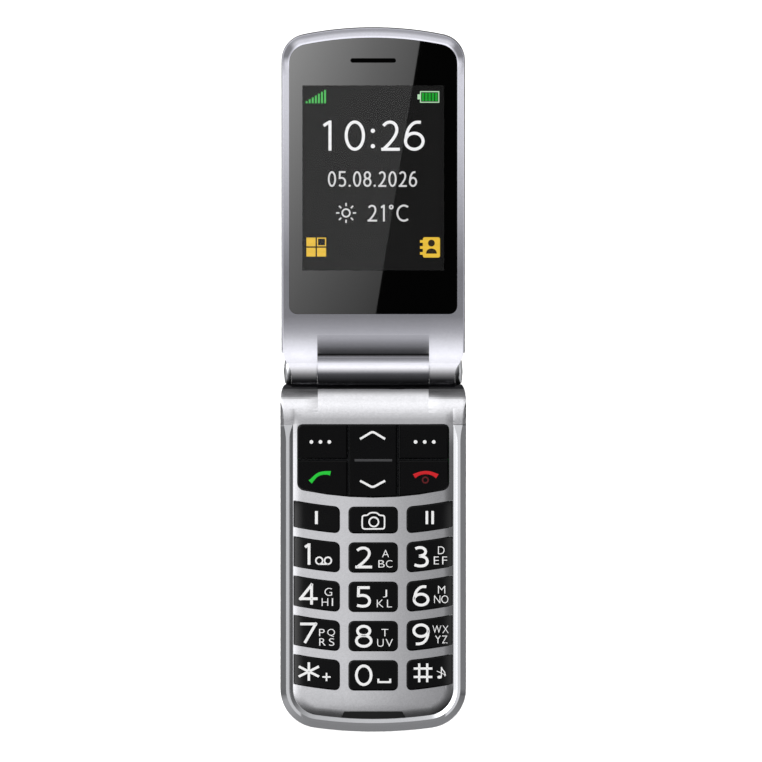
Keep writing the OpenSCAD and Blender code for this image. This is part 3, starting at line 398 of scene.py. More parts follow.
@dataclass(frozen=True)
class Finish:
    """A surface with a slight wander in colour and gloss and a fine grain.

    The base for paint, plating, moulded plastic, rubber and bare metal.
    """

    name: str
    colour: str
    metallic: float = 0.0
    roughness: float = 0.4
    ior: float = 1.46
    wander: float = 0.04
    wander_mm: float = 9.0
    gloss_wander: float = 0.03
    grain_mm: float = 0.5
    grain_depth: float = 0.002
    anisotropic: float = 0.0
    stretch: Place = (1.0, 1.0, 1.0)

    def material(self) -> bpy.types.Material:
        """Builds the material, once, and returns it."""
        return make_material(self.name, self.shader)

    def shader(self, tree: Tree) -> bpy.types.Node:
        """Adds the shader and what feeds it.

        Args:
            tree: the material's nodes.

        Returns:
            The shader.
        """
        place = add_node(tree, "ShaderNodeTexCoord")
        mapping = add_node(
            tree, "ShaderNodeMapping", {"Vector": place.outputs["Object"], "Scale": self.stretch}
        )
        vector = mapping.outputs["Vector"]
        shader = add_node(
            tree, "ShaderNodeBsdfPrincipled",
            {"Metallic": self.metallic, "Anisotropic": self.anisotropic},
        )
        if self.metallic < 1:
            shader.inputs["IOR"].default_value = self.ior
        self.wire(tree, shader, vector)
        return shader

    def wire(self, tree: Tree, shader: bpy.types.Node, vector: Socket) -> None:
        """Wires colour, roughness and relief into the shader.

        Args:
            tree: the material's nodes.
            shader: the node that gets them.
            vector: the place on the piece.
        """
        self.colour_nodes(tree, shader, vector)
        self.gloss_nodes(tree, shader, vector)
        self.relief_nodes(tree, shader, vector)

    def colour_nodes(self, tree: Tree, shader: bpy.types.Node, vector: Socket) -> None:
        """Lets the colour wander slowly round its middle value.

        Args:
            tree: the material's nodes.
            shader: the node that gets the colour.
            vector: the place on the piece.
        """
        noise = add_node(
            tree, "ShaderNodeTexNoise",
            {"Vector": vector, "Scale": per_mm(self.wander_mm), "Detail": 3.0},
        )
        tree.links.new(self.tones(tree, noise.outputs["Fac"]), shader.inputs["Base Color"])

    def tones(self, tree: Tree, share: Socket) -> Socket:
        """Colours from slightly darker to slightly lighter than the middle one.

        Args:
            tree: the material's nodes.
            share: 0 for the darkest and 1 for the lightest.

        Returns:
            The colour.
        """
        ramp = add_node(tree, "ShaderNodeValToRGB", {"Fac": share})
        for element, side in zip(ramp.color_ramp.elements, (-1, 1)):
            element.position = 0.5 + 0.2 * side
            tone = [min(c * (1 + side * self.wander), 1.0) for c in linear(self.colour)[:3]]
            element.color = tone + [1.0]
        return ramp.outputs["Color"]

    def gloss_nodes(self, tree: Tree, shader: bpy.types.Node, vector: Socket) -> None:
        """Lets the roughness wander a little round its middle value.

        Args:
            tree: the material's nodes.
            shader: the node that gets the roughness.
            vector: the place on the piece.
        """
        noise = add_node(
            tree, "ShaderNodeTexNoise",
            {"Vector": vector, "Scale": per_mm(self.wander_mm / 3), "Detail": 4.0},
        )
        spread = add_node(
            tree, "ShaderNodeMapRange",
            {"Value": noise.outputs["Fac"], "From Min": 0.3, "From Max": 0.7,
             "To Min": max(self.roughness - self.gloss_wander, 0.0),
             "To Max": min(self.roughness + self.gloss_wander, 1.0)},
        )
        tree.links.new(spread.outputs["Result"], shader.inputs["Roughness"])

    def relief_nodes(self, tree: Tree, shader: bpy.types.Node, vector: Socket) -> None:
        """Gives the surface its fine grain.

        Args:
            tree: the material's nodes.
            shader: the node that gets the relief.
            vector: the place on the piece.
        """
        if self.grain_depth <= 0:
            return
        grain = add_node(
            tree, "ShaderNodeTexNoise",
            {"Vector": vector, "Scale": per_mm(self.grain_mm), "Detail": 2.0},
        )
        bump = add_node(
            tree, "ShaderNodeBump",
            {"Height": grain.outputs["Fac"], "Distance": self.grain_depth * MM, "Strength": 1.0},
        )
        tree.links.new(bump.outputs["Normal"], shader.inputs["Normal"])


@dataclass(frozen=True)
class FlakePaint(Finish):
    """Silver paint with aluminium flake: tiny flakes glint at their own angles."""

    flake_mm: float = 0.35
    flake: float = 0.05

    def colour_nodes(self, tree: Tree, shader: bpy.types.Node, vector: Socket) -> None:
        """Adds flakes that are lighter or darker than the paint between them.

        Args:
            tree: the material's nodes.
            shader: the node that gets the colour.
            vector: the place on the piece.
        """
        slow = add_node(
            tree, "ShaderNodeTexNoise",
            {"Vector": vector, "Scale": per_mm(self.wander_mm), "Detail": 2.0},
        )
        cells = add_node(
            tree, "ShaderNodeTexVoronoi", {"Vector": vector, "Scale": per_mm(self.flake_mm)}
        )
        flakes = add_node(tree, "ShaderNodeSeparateColor", {"Color": cells.outputs["Color"]})
        glint = add_node(
            tree, "ShaderNodeMapRange",
            {"Value": flakes.outputs["Red"], "To Min": 1 - self.flake, "To Max": 1 + self.flake},
        )
        mixed = add_node(
            tree, "ShaderNodeVectorMath",
            {0: self.tones(tree, slow.outputs["Fac"]), "Scale": glint.outputs["Result"]},
            operation="SCALE",
        )
        tree.links.new(mixed.outputs["Vector"], shader.inputs["Base Color"])


@dataclass(frozen=True)
class Glow:
    """Light from one sign of the display's picture, with its faint rows of pixels.

    The rows of such a display are too fine to show. Soft bands, drawn 1.9 mm apart, stand for
    them.
    """

    name: str
    colour: str
    row_mm: float = 1.885
    dim_row: float = 0.94

    def material(self) -> bpy.types.Material:
        """Builds the material, once, and returns it."""
        return make_material(self.name, self.shader)

    def shader(self, tree: Tree) -> bpy.types.Node:
        """Adds the shader and what feeds it.

        Args:
            tree: the material's nodes.

        Returns:
            The shader.
        """
        place = add_node(tree, "ShaderNodeTexCoord")
        # A wave texture runs through 20 radians per unit of its scale.
        rows = add_node(
            tree, "ShaderNodeTexWave",
            {"Vector": place.outputs["Object"], "Scale": per_mm(self.row_mm) * math.tau / 20},
            bands_direction="Y",
        )
        ramp = add_node(tree, "ShaderNodeValToRGB", {"Fac": rows.outputs["Fac"]})
        colour = linear(self.colour)
        ramp.color_ramp.elements[0].color = [c * self.dim_row for c in colour[:3]] + [1.0]
        ramp.color_ramp.elements[1].color = colour
        return add_node(
            tree, "ShaderNodeBsdfPrincipled",
            {"Base Color": (0.002, 0.002, 0.002, 1.0), "Roughness": 0.6, "IOR": 1.05,
             "Emission Color": ramp.outputs["Color"], "Emission Strength": 1.0},
        )


@dataclass(frozen=True)
class ClearPane(Finish):
    """Coated clear plastic of the window: lets the picture through and hardly reflects."""

    def wire(self, tree: Tree, shader: bpy.types.Node, vector: Socket) -> None:
        """Makes the shader see-through, with a faint wander in its gloss.

        Args:
            tree: the material's nodes.
            shader: the node that becomes clear.
            vector: the place on the piece.
        """
        shader.inputs["Base Color"].default_value = linear(self.colour)
        shader.inputs["Transmission Weight"].default_value = 1.0
        self.gloss_nodes(tree, shader, vector)


# Paint with fine aluminium flake: an even silver with a soft mirror and a faint sparkle.
SILVER = FlakePaint("silver_paint_satin", "EDEDF1", metallic=1.0, roughness=0.24,
                    wander=0.012, grain_mm=0.4, grain_depth=0.0006, flake=0.035)
# The same paint under a smoother lacquer: bands of light keep clearer edges.
LID_SILVER = FlakePaint("silver_paint_bright", "E9E9F3", metallic=1.0, roughness=0.2,
                        wander=0.01, grain_mm=0.6, grain_depth=0.0004, flake=0.02)
# Bright plating on ABS: the sharpest mirror on the outside.
PLATING = Finish("bright_plated_abs", "EDEEF2", metallic=1.0, roughness=0.13, wander=0.01,
                 gloss_wander=0.02, grain_mm=1.6, grain_depth=0.0008)
# Polycarbonate from a lightly etched mould: deep black with a weak, soft sheen.
KEY_BLACK = Finish("moulded_polycarbonate_black", "050506", roughness=0.26, ior=1.3,
                   wander=0.1, grain_mm=0.35, grain_depth=0.0012)
# Acrylic printed black on its back: a jet black with a smooth, mirror-like face.
GLOSS_BLACK = Finish("piano_black_acrylic", "010101", roughness=0.03, ior=1.12, wander=0.1,
                     gloss_wander=0.006, grain_depth=0.0)
# Plain moulded ABS: nearly black, with a broad dull sheen.
INSERT_BLACK = Finish("moulded_abs_black", "0C0C0D", roughness=0.35, ior=1.5, wander=0.1)
# Coated acrylic: the picture shows through it and the room hardly mirrors in it.
PANE = ClearPane("coated_clear_acrylic", "FCFCFD", roughness=0.008, ior=1.33, gloss_wander=0.002)
# ABS from a spark-eroded mould: dark grey, with a fine grain that breaks up the light.
CHARCOAL = Finish("textured_abs_charcoal", "242427", roughness=0.52, ior=1.5, wander=0.08,
                  grain_mm=0.45, grain_depth=0.012)
# Screen-printed inks: flat and matt, so that the marks read from every side.
WHITE_INK = Finish("printed_ink_white", "F2F2F2", roughness=0.5, ior=1.45, wander=0.03,
                   grain_depth=0.0)
GREEN_INK = Finish("printed_ink_green", "1CC636", roughness=0.5, ior=1.45, wander=0.05,
                   grain_depth=0.0)
RED_INK = Finish("printed_ink_red", "CB131D", roughness=0.5, ior=1.45, wander=0.05,
                 grain_depth=0.0)
DARK_RED_INK = Finish("printed_ink_dark_red", "5A0C12", roughness=0.5, ior=1.45, wander=0.05,
                      grain_depth=0.0)
# Grey of the rocker's divider bar: a painted sheen, the glint of the bar's bevel put into its
# colour.
SHEEN_GREY = Finish("grey_painted_sheen", "3C3C3E", roughness=0.35, ior=1.5)
# Brushed steel: a grey glint, drawn out across the brushing.
STEEL = Finish("brushed_steel", "A7A8AC", metallic=1.0, roughness=0.34, wander=0.05,
               grain_mm=0.25, grain_depth=0.004, anisotropic=0.4, stretch=(0.1, 1.0, 1.0))
# Gold plate: small warm mirrors.
GOLD = Finish("gold_plated_contacts", "D8AE52", metallic=1.0, roughness=0.22, wander=0.04)
# Solder mask over copper: glossy green with a slight mottle.
BOARD = Finish("solder_mask_green", "1C6A38", roughness=0.3, ior=1.5, wander=0.2, wander_mm=2.5)
# Printed film: an even slate grey with a soft sheen.
LABEL = Finish("printed_label_film", "3F444B", roughness=0.4, ior=1.48, wander=0.06)
# Polyester film: pale amber and slightly milky.
FILM = Finish("polyester_dome_film", "D9CBA2", roughness=0.45, ior=1.57, wander=0.05)
# Silicone rubber: dark grey without a highlight, so that it stays quiet between the keys.
SILICONE = Finish("silicone_rubber_dark", "48494C", roughness=0.6, ior=1.41, wander=0.06)
# Moulded nylon: nearly black and dull.
DARK_PART = Finish("moulded_nylon_dark", "2B2C30", roughness=0.5, ior=1.53, wander=0.08)
# Black film over copper: dark, with a thin sheen along its bends.
COVERLAY = Finish("black_coverlay_film", "0E0E10", roughness=0.4, ior=1.5, wander=0.08)
# Woven mesh: dead black. The grain of its threads is drawn 0.3 mm wide, so that it shows.
MESH = Finish("woven_mesh_black", "020202", roughness=0.8, ior=1.1, wander=0.3, wander_mm=0.3,
              grain_mm=0.3, grain_depth=0.05)
# Tinted glass: black with one sharp highlight.
CAMERA_GLASS = Finish("tinted_camera_window", "07080B", roughness=0.04, ior=1.52, wander=0.1,
                      grain_depth=0.0)
# Soft rubber: dull black.
PLUG = Finish("soft_rubber_plug", "1A1A1C", roughness=0.7, ior=1.5, wander=0.08, grain_mm=0.3,
              grain_depth=0.01)
# Matt paper: an even white without gloss, which takes a soft shadow.
PAPER = Finish("matt_white_paper", "F4F4F4", roughness=0.9, ior=1.4, wander=0.005,
               grain_depth=0.0)

# Lit picture elements: flat colour of their own that no lamp changes.
DARK_GROUND = Glow("display_dark_ground", "030303")
CLOCK_WHITE = Glow("display_white", "FAFAFA")
SOFT_WHITE = Glow("display_soft_white", "DCDCDC")
SIGNAL_GREEN = Glow("display_green", "4FC45C")
PALE_GREEN = Glow("display_pale_green", "BFE8BF")
DEEP_GREEN = Glow("display_deep_green", "17A32C")
SIGN_YELLOW = Glow("display_yellow", "F0C43E")
SIGN_BROWN = Glow("display_dark_brown", "2A2110")

# Inner parts of the frame that are dressed as they are.
CARRIED = {
    BOARD: ("main_board", "lid_board"),
    GOLD: ("battery_contacts",),
    LABEL: ("battery",),
    FILM: ("dome_sheet",),
    SILICONE: ("keymat",),
    STEEL: ("rf_shield", "sim_holder", "vibration_motor", "microphone", "charging_socket",
            "base_screws", "hinge_module", "hinge_follower", "hinge_spring", "closing_magnet",
            "lid_screws", "hinge_cam_head", "hinge_shaft"),
    DARK_PART: ("loudspeaker", "antenna", "earpiece", "camera_module", "display_module"),
    COVERLAY: ("lid_flex",),
    PLUG: ("lid_screw_plugs",),
    CAMERA_GLASS: ("camera_window",),
    MESH: ("earpiece_mesh",),
}


# Marks on the keys ----------------------------------------------------------------


def arc(
    cx: float, cy: float, rx: float, ry: float, start: float, end: float, steps: int = 16
) -> list[Point]:
    """Points along part of an ellipse, with its angles in degrees."""
    angles = [math.radians(start + (end - start) * k / steps) for k in range(steps + 1)]
    return [(cx + rx * math.cos(a), cy + ry * math.sin(a)) for a in angles]


# Strokes of each figure in a unit box: x to the right, y up, each a list of points.
FIGURES: dict[str, list[list[Point]]] = {
    "1": [[(0.0, 0.86), (0.35, 0.93), (0.86, 1.0)], [(0.86, 1.0), (0.86, 0.0)]],
    "2": [
        [(0.05, 0.86), (0.16, 0.935), (0.3, 0.98), (0.47, 1.0), (0.66, 0.975), (0.82, 0.9),
         (0.9, 0.77), (0.89, 0.64), (0.8, 0.5), (0.6, 0.33), (0.34, 0.15), (0.05, 0.0)],
        [(0.0, 0.0), (1.0, 0.0)],
    ],
    "3": [
        [(0.07, 0.93), (0.22, 0.985), (0.42, 1.0), (0.64, 0.975), (0.8, 0.89), (0.85, 0.77),
         (0.78, 0.65), (0.62, 0.57), (0.34, 0.54)],
        [(0.34, 0.54), (0.66, 0.52), (0.88, 0.43), (0.98, 0.28), (0.93, 0.13), (0.76, 0.03),
         (0.48, 0.0), (0.22, 0.015), (0.0, 0.07)],
    ],
    "4": [[(0.7, 0.0), (0.7, 1.0)], [(0.7, 1.0), (0.0, 0.25)], [(0.0, 0.25), (1.0, 0.25)]],
    "5": [
        [(0.12, 1.0), (0.88, 1.0)],
        [(0.12, 1.0), (0.1, 0.56)],
        [(0.1, 0.56), (0.34, 0.595), (0.62, 0.575), (0.86, 0.49), (0.98, 0.32), (0.94, 0.15),
         (0.77, 0.035), (0.5, 0.0), (0.24, 0.012), (0.0, 0.06)],
    ],
    "6": [
        [(0.87, 0.985), (0.66, 1.0), (0.44, 0.955), (0.22, 0.81), (0.07, 0.6), (0.0, 0.3)],
        arc(0.5, 0.295, 0.5, 0.295, 0, 360, 28),
    ],
    "7": [[(0.0, 1.0), (1.0, 1.0)], [(1.0, 1.0), (0.28, 0.0)]],
    "8": [arc(0.5, 0.765, 0.42, 0.235, 0, 360, 28), arc(0.5, 0.27, 0.5, 0.27, 0, 360, 28)],
    "9": [
        arc(0.49, 0.7, 0.49, 0.3, 0, 360, 28),
        [(0.98, 0.72), (0.97, 0.52), (0.9, 0.31), (0.72, 0.11), (0.46, 0.01), (0.14, 0.015)],
    ],
    "0": [arc(0.5, 0.5, 0.5, 0.5, 0, 360, 32)],
    "star": [[(0.5, 0.0), (0.5, 1.0)], [(0.0, 0.22), (1.0, 0.78)], [(0.0, 0.78), (1.0, 0.22)]],
    "plus": [[(0.5, 0.0), (0.5, 1.0)], [(0.0, 0.5), (1.0, 0.5)]],
    "hash": [
        [(0.27, 0.0), (0.27, 1.0)], [(0.75, 0.0), (0.75, 1.0)],
        [(0.0, 0.25), (1.0, 0.25)], [(0.0, 0.75), (1.0, 0.75)],
    ],
    "bar": [[(0.5, 0.0), (0.5, 1.0)]],
    "space": [[(0.0, 1.0), (0.0, 0.0)], [(0.0, 0.0), (1.0, 0.0)], [(1.0, 0.0), (1.0, 1.0)]],
    "reels": [
        arc(0.22, 0.5, 0.22, 0.5, 0, 360, 24), arc(0.78, 0.5, 0.22, 0.5, 0, 360, 24),
        [(0.22, 0.0), (0.78, 0.0)],
    ],
    "up": [[(0.0, 0.0), (0.18, 0.38), (0.36, 0.8), (0.43, 0.96), (0.5, 1.02), (0.57, 0.96),
            (0.64, 0.8), (0.82, 0.38), (1.0, 0.0)]],
    "down": [[(0.0, 1.0), (0.18, 0.62), (0.36, 0.2), (0.43, 0.04), (0.5, -0.02), (0.57, 0.04),
              (0.64, 0.2), (0.82, 0.62), (1.0, 1.0)]],
    "camera": [
        [(0.1, 0.0), (0.03, 0.03), (0.0, 0.12), (0.0, 0.72), (0.03, 0.8), (0.1, 0.83),
         (0.24, 0.83), (0.34, 1.0), (0.66, 1.0), (0.76, 0.83), (0.9, 0.83), (0.97, 0.8),
         (1.0, 0.72), (1.0, 0.12), (0.97, 0.03), (0.9, 0.0), (0.1, 0.0)],
        arc(0.52, 0.43, 0.21, 0.285, 0, 360, 28),
    ],
    "stem": [
        [(0.0, 0.0), (0.0, 1.0)],
        [(0.0, 1.0), (0.25, 0.78), (0.75, 0.56), (1.0, 0.38), (0.88, 0.08)],
    ],
    "slash": [[(0.0, 1.0), (1.0, 0.0)]],
    "dot": [arc(0.5, 0.5, 0.5, 0.5, 0, 360, 16)],
    "lifted": [
        [(0.0, 0.0), (0.06, 0.14), (0.16, 0.38), (0.28, 0.66), (0.44, 0.88), (0.62, 0.98),
         (0.8, 1.0), (0.93, 0.98), (1.0, 0.95)],
    ],
    "laid": [
        [(0.0, 0.0), (0.08, 0.3), (0.2, 0.66), (0.36, 0.93), (0.5, 1.0), (0.64, 0.93),
         (0.8, 0.66), (0.92, 0.3), (1.0, 0.0)],
    ],
}


# Size at which a letter is set, how much its outline shrinks and the width of its strokes.
LETTER_SIZE = 3.0
LETTER_THIN = 0.03
LETTER_PEN = 0.36


@dataclass(frozen=True)
class Mark:
    """A figure or letter, and the box that its ink fills, in millimetres.

    A figure is drawn with a pen, whose strokes are ends times as wide at their ends. Without a
    pen the mark is a letter.
    """

    figure: str
    x: Point
    y: Point
    pen: float = 0.0
    ends: float = 1.0


def stroke(points: list[Point], pen: float, z: Point, ends: float = 1.0) -> Piece:
    """Draws one stroke of ink with a round-backed pen.

    Args:
        points: the middle of the stroke, in millimetres.
        pen: the stroke's width.
        z: the heights between which the ink lies.
        ends: how much wider the stroke is at its ends.

    Returns:
        The stroke as a mesh.
    """
    closed = len(points) > 3 and math.dist(points[0], points[-1]) < 1e-6
    if len(points) == 2:
        points = split_line(points, 9)
    curve = bpy.data.curves.new("stroke", "CURVE")
    curve.dimensions = "3D"
    curve.bevel_depth = pen / 2 * MM
    curve.bevel_resolution = 3
    curve.use_fill_caps = True
    curve.resolution_u = 3
    kept = points[:-1] if closed else points
    spline = curve.splines.new("POLY" if len(kept) < 4 else "NURBS")
    spline.points.add(len(kept) - 1)
    for k, (spot, (x, y)) in enumerate(zip(spline.points, kept)):
        spot.co = (x * MM, y * MM, 0, 1)
        spot.radius = 1 + (ends - 1) * abs(2 * k / (len(kept) - 1) - 1) ** 3
    if len(kept) >= 4:
        spline.order_u = 3
        spline.use_endpoint_u = True
    spline.use_cyclic_u = closed
    piece = bpy.data.objects.new("stroke", curve)
    bpy.context.scene.collection.objects.link(piece)
    select_only(piece)
    bpy.ops.object.convert(target="MESH")
    piece = bpy.context.active_object
    height = (z[1] - z[0]) / pen
    move_points(piece, lambda p: Vector((p.x, p.y, p.z * height + (z[0] + z[1]) / 2)))
    return piece


def split_line(points: list[Point], steps: int) -> list[Point]:
    """Splits a straight line into equal steps, so that it can bend later."""
    (ax, ay), (bx, by) = points
    return [(ax + (bx - ax) * k / steps, ay + (by - ay) * k / steps) for k in range(steps + 1)]


def drawn(mark: Mark, z: Point) -> list[Piece]:
    """Draws a figure with the pen inside its box.

    Args:
        mark: the figure, its box and the width of the pen.
        z: the heights between which the ink lies.

    Returns:
        The figure's strokes.
    """
    half = mark.pen / 2
    wide = mark.x[1] - mark.x[0] - mark.pen
    high = mark.y[1] - mark.y[0] - mark.pen
    strokes = []
    for line in FIGURES[mark.figure]:
        points = [(mark.x[0] + half + wide * px, mark.y[0] + half + high * py) for px, py in line]
        strokes.append(stroke(stretched_ends(points, half * 0.9), mark.pen, z, mark.ends))
    return strokes


def stretched_ends(points: list[Point], by: float) -> list[Point]:
    """Lengthens a straight line at both ends, so that corners are filled.

    Args:
        points: the line's points; a line of more than two stays as it is.
        by: how far each end moves.

    Returns:
        The line's points.
    """
    if len(points) != 2:
        return points
    start, end = points
    length = math.dist(start, end)
    ux, uy = (end[0] - start[0]) / length, (end[1] - start[1]) / length
    return [(start[0] - ux * by, start[1] - uy * by), (end[0] + ux * by, end[1] + uy * by)]


def lettered(mark: Mark, z: Point) -> Piece:
    """Sets a plain letter so that it just fills its box.

    Args:
        mark: the letter and its box; an I keeps the width of a stroke.
        z: the heights between which the ink lies.

    Returns:
        The letter's mesh.
    """
    bpy.ops.object.select_all(action="DESELECT")
    bpy.ops.object.text_add(location=(0, 0, 0))
    letter = bpy.context.active_object
    letter.data.body = mark.figure
    letter.data.size = LETTER_SIZE * MM
    letter.data.offset = -LETTER_THIN * MM
    letter.data.extrude = (z[1] - z[0]) / 2 * MM
    bpy.ops.object.convert(target="MESH")
    letter = bpy.context.active_object
    xs = [v.co.x / MM for v in letter.data.vertices]
    ys = [v.co.y / MM for v in letter.data.vertices]
    low_x, low_y = min(xs), min(ys)
    scale_x = (mark.x[1] - mark.x[0]) / (max(xs) - low_x)
    scale_y = (mark.y[1] - mark.y[0]) / (max(ys) - low_y)
    if mark.figure == "I":
        scale_x = LETTER_PEN / (max(xs) - low_x)
    middle = (z[0] + z[1]) / 2
    move_points(
        letter,
        lambda p: Vector((mark.x[0] + (p.x - low_x) * scale_x,
                          mark.y[0] + (p.y - low_y) * scale_y, p.z + middle)),
    )
    return letter


# Keys -----------------------------------------------------------------------------


def sag(x: float, radius: float) -> float:
    """Drop of an arc of this radius at a distance x from its middle."""
    return radius - math.sqrt(radius**2 - x**2) if radius else 0.0


@dataclass(frozen=True)
class EdgeRoll:
    """How the plate and the outer keys roll down towards the trim."""

    half_width: float = 22.4
    width: float = 2.8
    depth: float = 0.5

    def drop(self, x: float) -> float:
        """Works out how far the surface drops.

        Args:
            x: the place along X, in millimetres.

        Returns:
            The drop in millimetres.
        """
        over = min(max(abs(x) - (self.half_width - self.width), 0.0), self.width)
        radius = (self.width**2 + self.depth**2) / (2 * self.depth)
        return sag(over, radius)


ROLL = EdgeRoll()


@dataclass(frozen=True)
class Keycap:
    """A key: a cap with round corners and a rounded rim, whose long edges may be curved.

    t is the distance from the hinge axis. Corner radii run from the inner near corner round to
    the inner far one. The outer end of a key that rolls follows the plate down, and its
    underside there clears the plate's shelf when the key is pressed.
    """

    name: str
    x: Point
    t: Point
    corners: tuple[float, float, float, float]
    near_r: float = 0.0
    far_r: float = 0.0
    edge: float = 0.35
    rolls: bool = False
    z: Point = (8.85, 11.15)
    shelf_x: float = 20.4
    shelf_z: float = 9.25
    roll_deep: float = 1.2
    strips: int = 14

    def build(self) -> Piece:
        """Models the key.

        Returns:
            The key.
        """
        y = (HINGE_Y - self.t[1], HINGE_Y - self.t[0])
        piece = block(self.name, self.x, y, self.z)
        low, high = sorted(self.x, key=abs)
        places = [(low, y[1]), (high, y[1]), (high, y[0]), (low, y[0])]
        for (cx, cy), radius in zip(places, self.corners):
            bevel_edges(piece, self.upright(cx, cy), radius, 6)
        bevel_edges(piece, self.top_rim, self.edge, 4)
        step = (self.x[1] - self.x[0]) / self.strips
        slice_along(piece, 0, [self.x[0] + step * k for k in range(1, self.strips)])
        move_points(piece, self.shaped)
        finish_mesh(piece, 40)
        return piece

    def upright(self, cx: float, cy: float) -> Callable:
        """Makes a test for the upright edge at one corner.

        Args:
            cx: the corner's X.
            cy: the corner's Y.

        Returns:
            The test.
        """
        return lambda edge: all(
            abs(v.co.x / MM - cx) < 0.01 and abs(v.co.y / MM - cy) < 0.01 for v in edge.verts
        )

    def top_rim(self, edge: bmesh.types.BMEdge) -> bool:
        """Says whether an edge lies round the top face."""
        return all(v.co.z / MM > self.z[1] - 0.001 for v in edge.verts) and any(
            f.normal.z < 0.5 for f in edge.link_faces
        )

    def shaped(self, p: Vector) -> Vector:
        """Curves the long edges and lets the outer end roll down.

        Args:
            p: a point of the straight key.

        Returns:
            Its finished place.
        """
        y0, y1 = HINGE_Y - self.t[0], HINGE_Y - self.t[1]
        share = (p.y - y0) / (y1 - y0)
        inner = min(abs(self.x[0]), abs(self.x[1])) if self.rolls else 0.0
        near = sag(p.x, self.near_r) - sag(inner, self.near_r)
        far = sag(p.x, self.far_r) - sag(inner, self.far_r)
        p = Vector((p.x, p.y + near * (1 - share) + far * share, p.z))
        if self.rolls and p.z > self.z[1] - self.roll_deep:
            p.z -= ROLL.drop(p.x)
        if self.rolls and abs(p.x) > self.shelf_x and p.z < self.z[0] + NEAR:
            p.z = self.shelf_z
        return p


class Column(Enum):
    """The three columns of keys."""

    LEFT = -1
    MIDDLE = 0
    RIGHT = 1


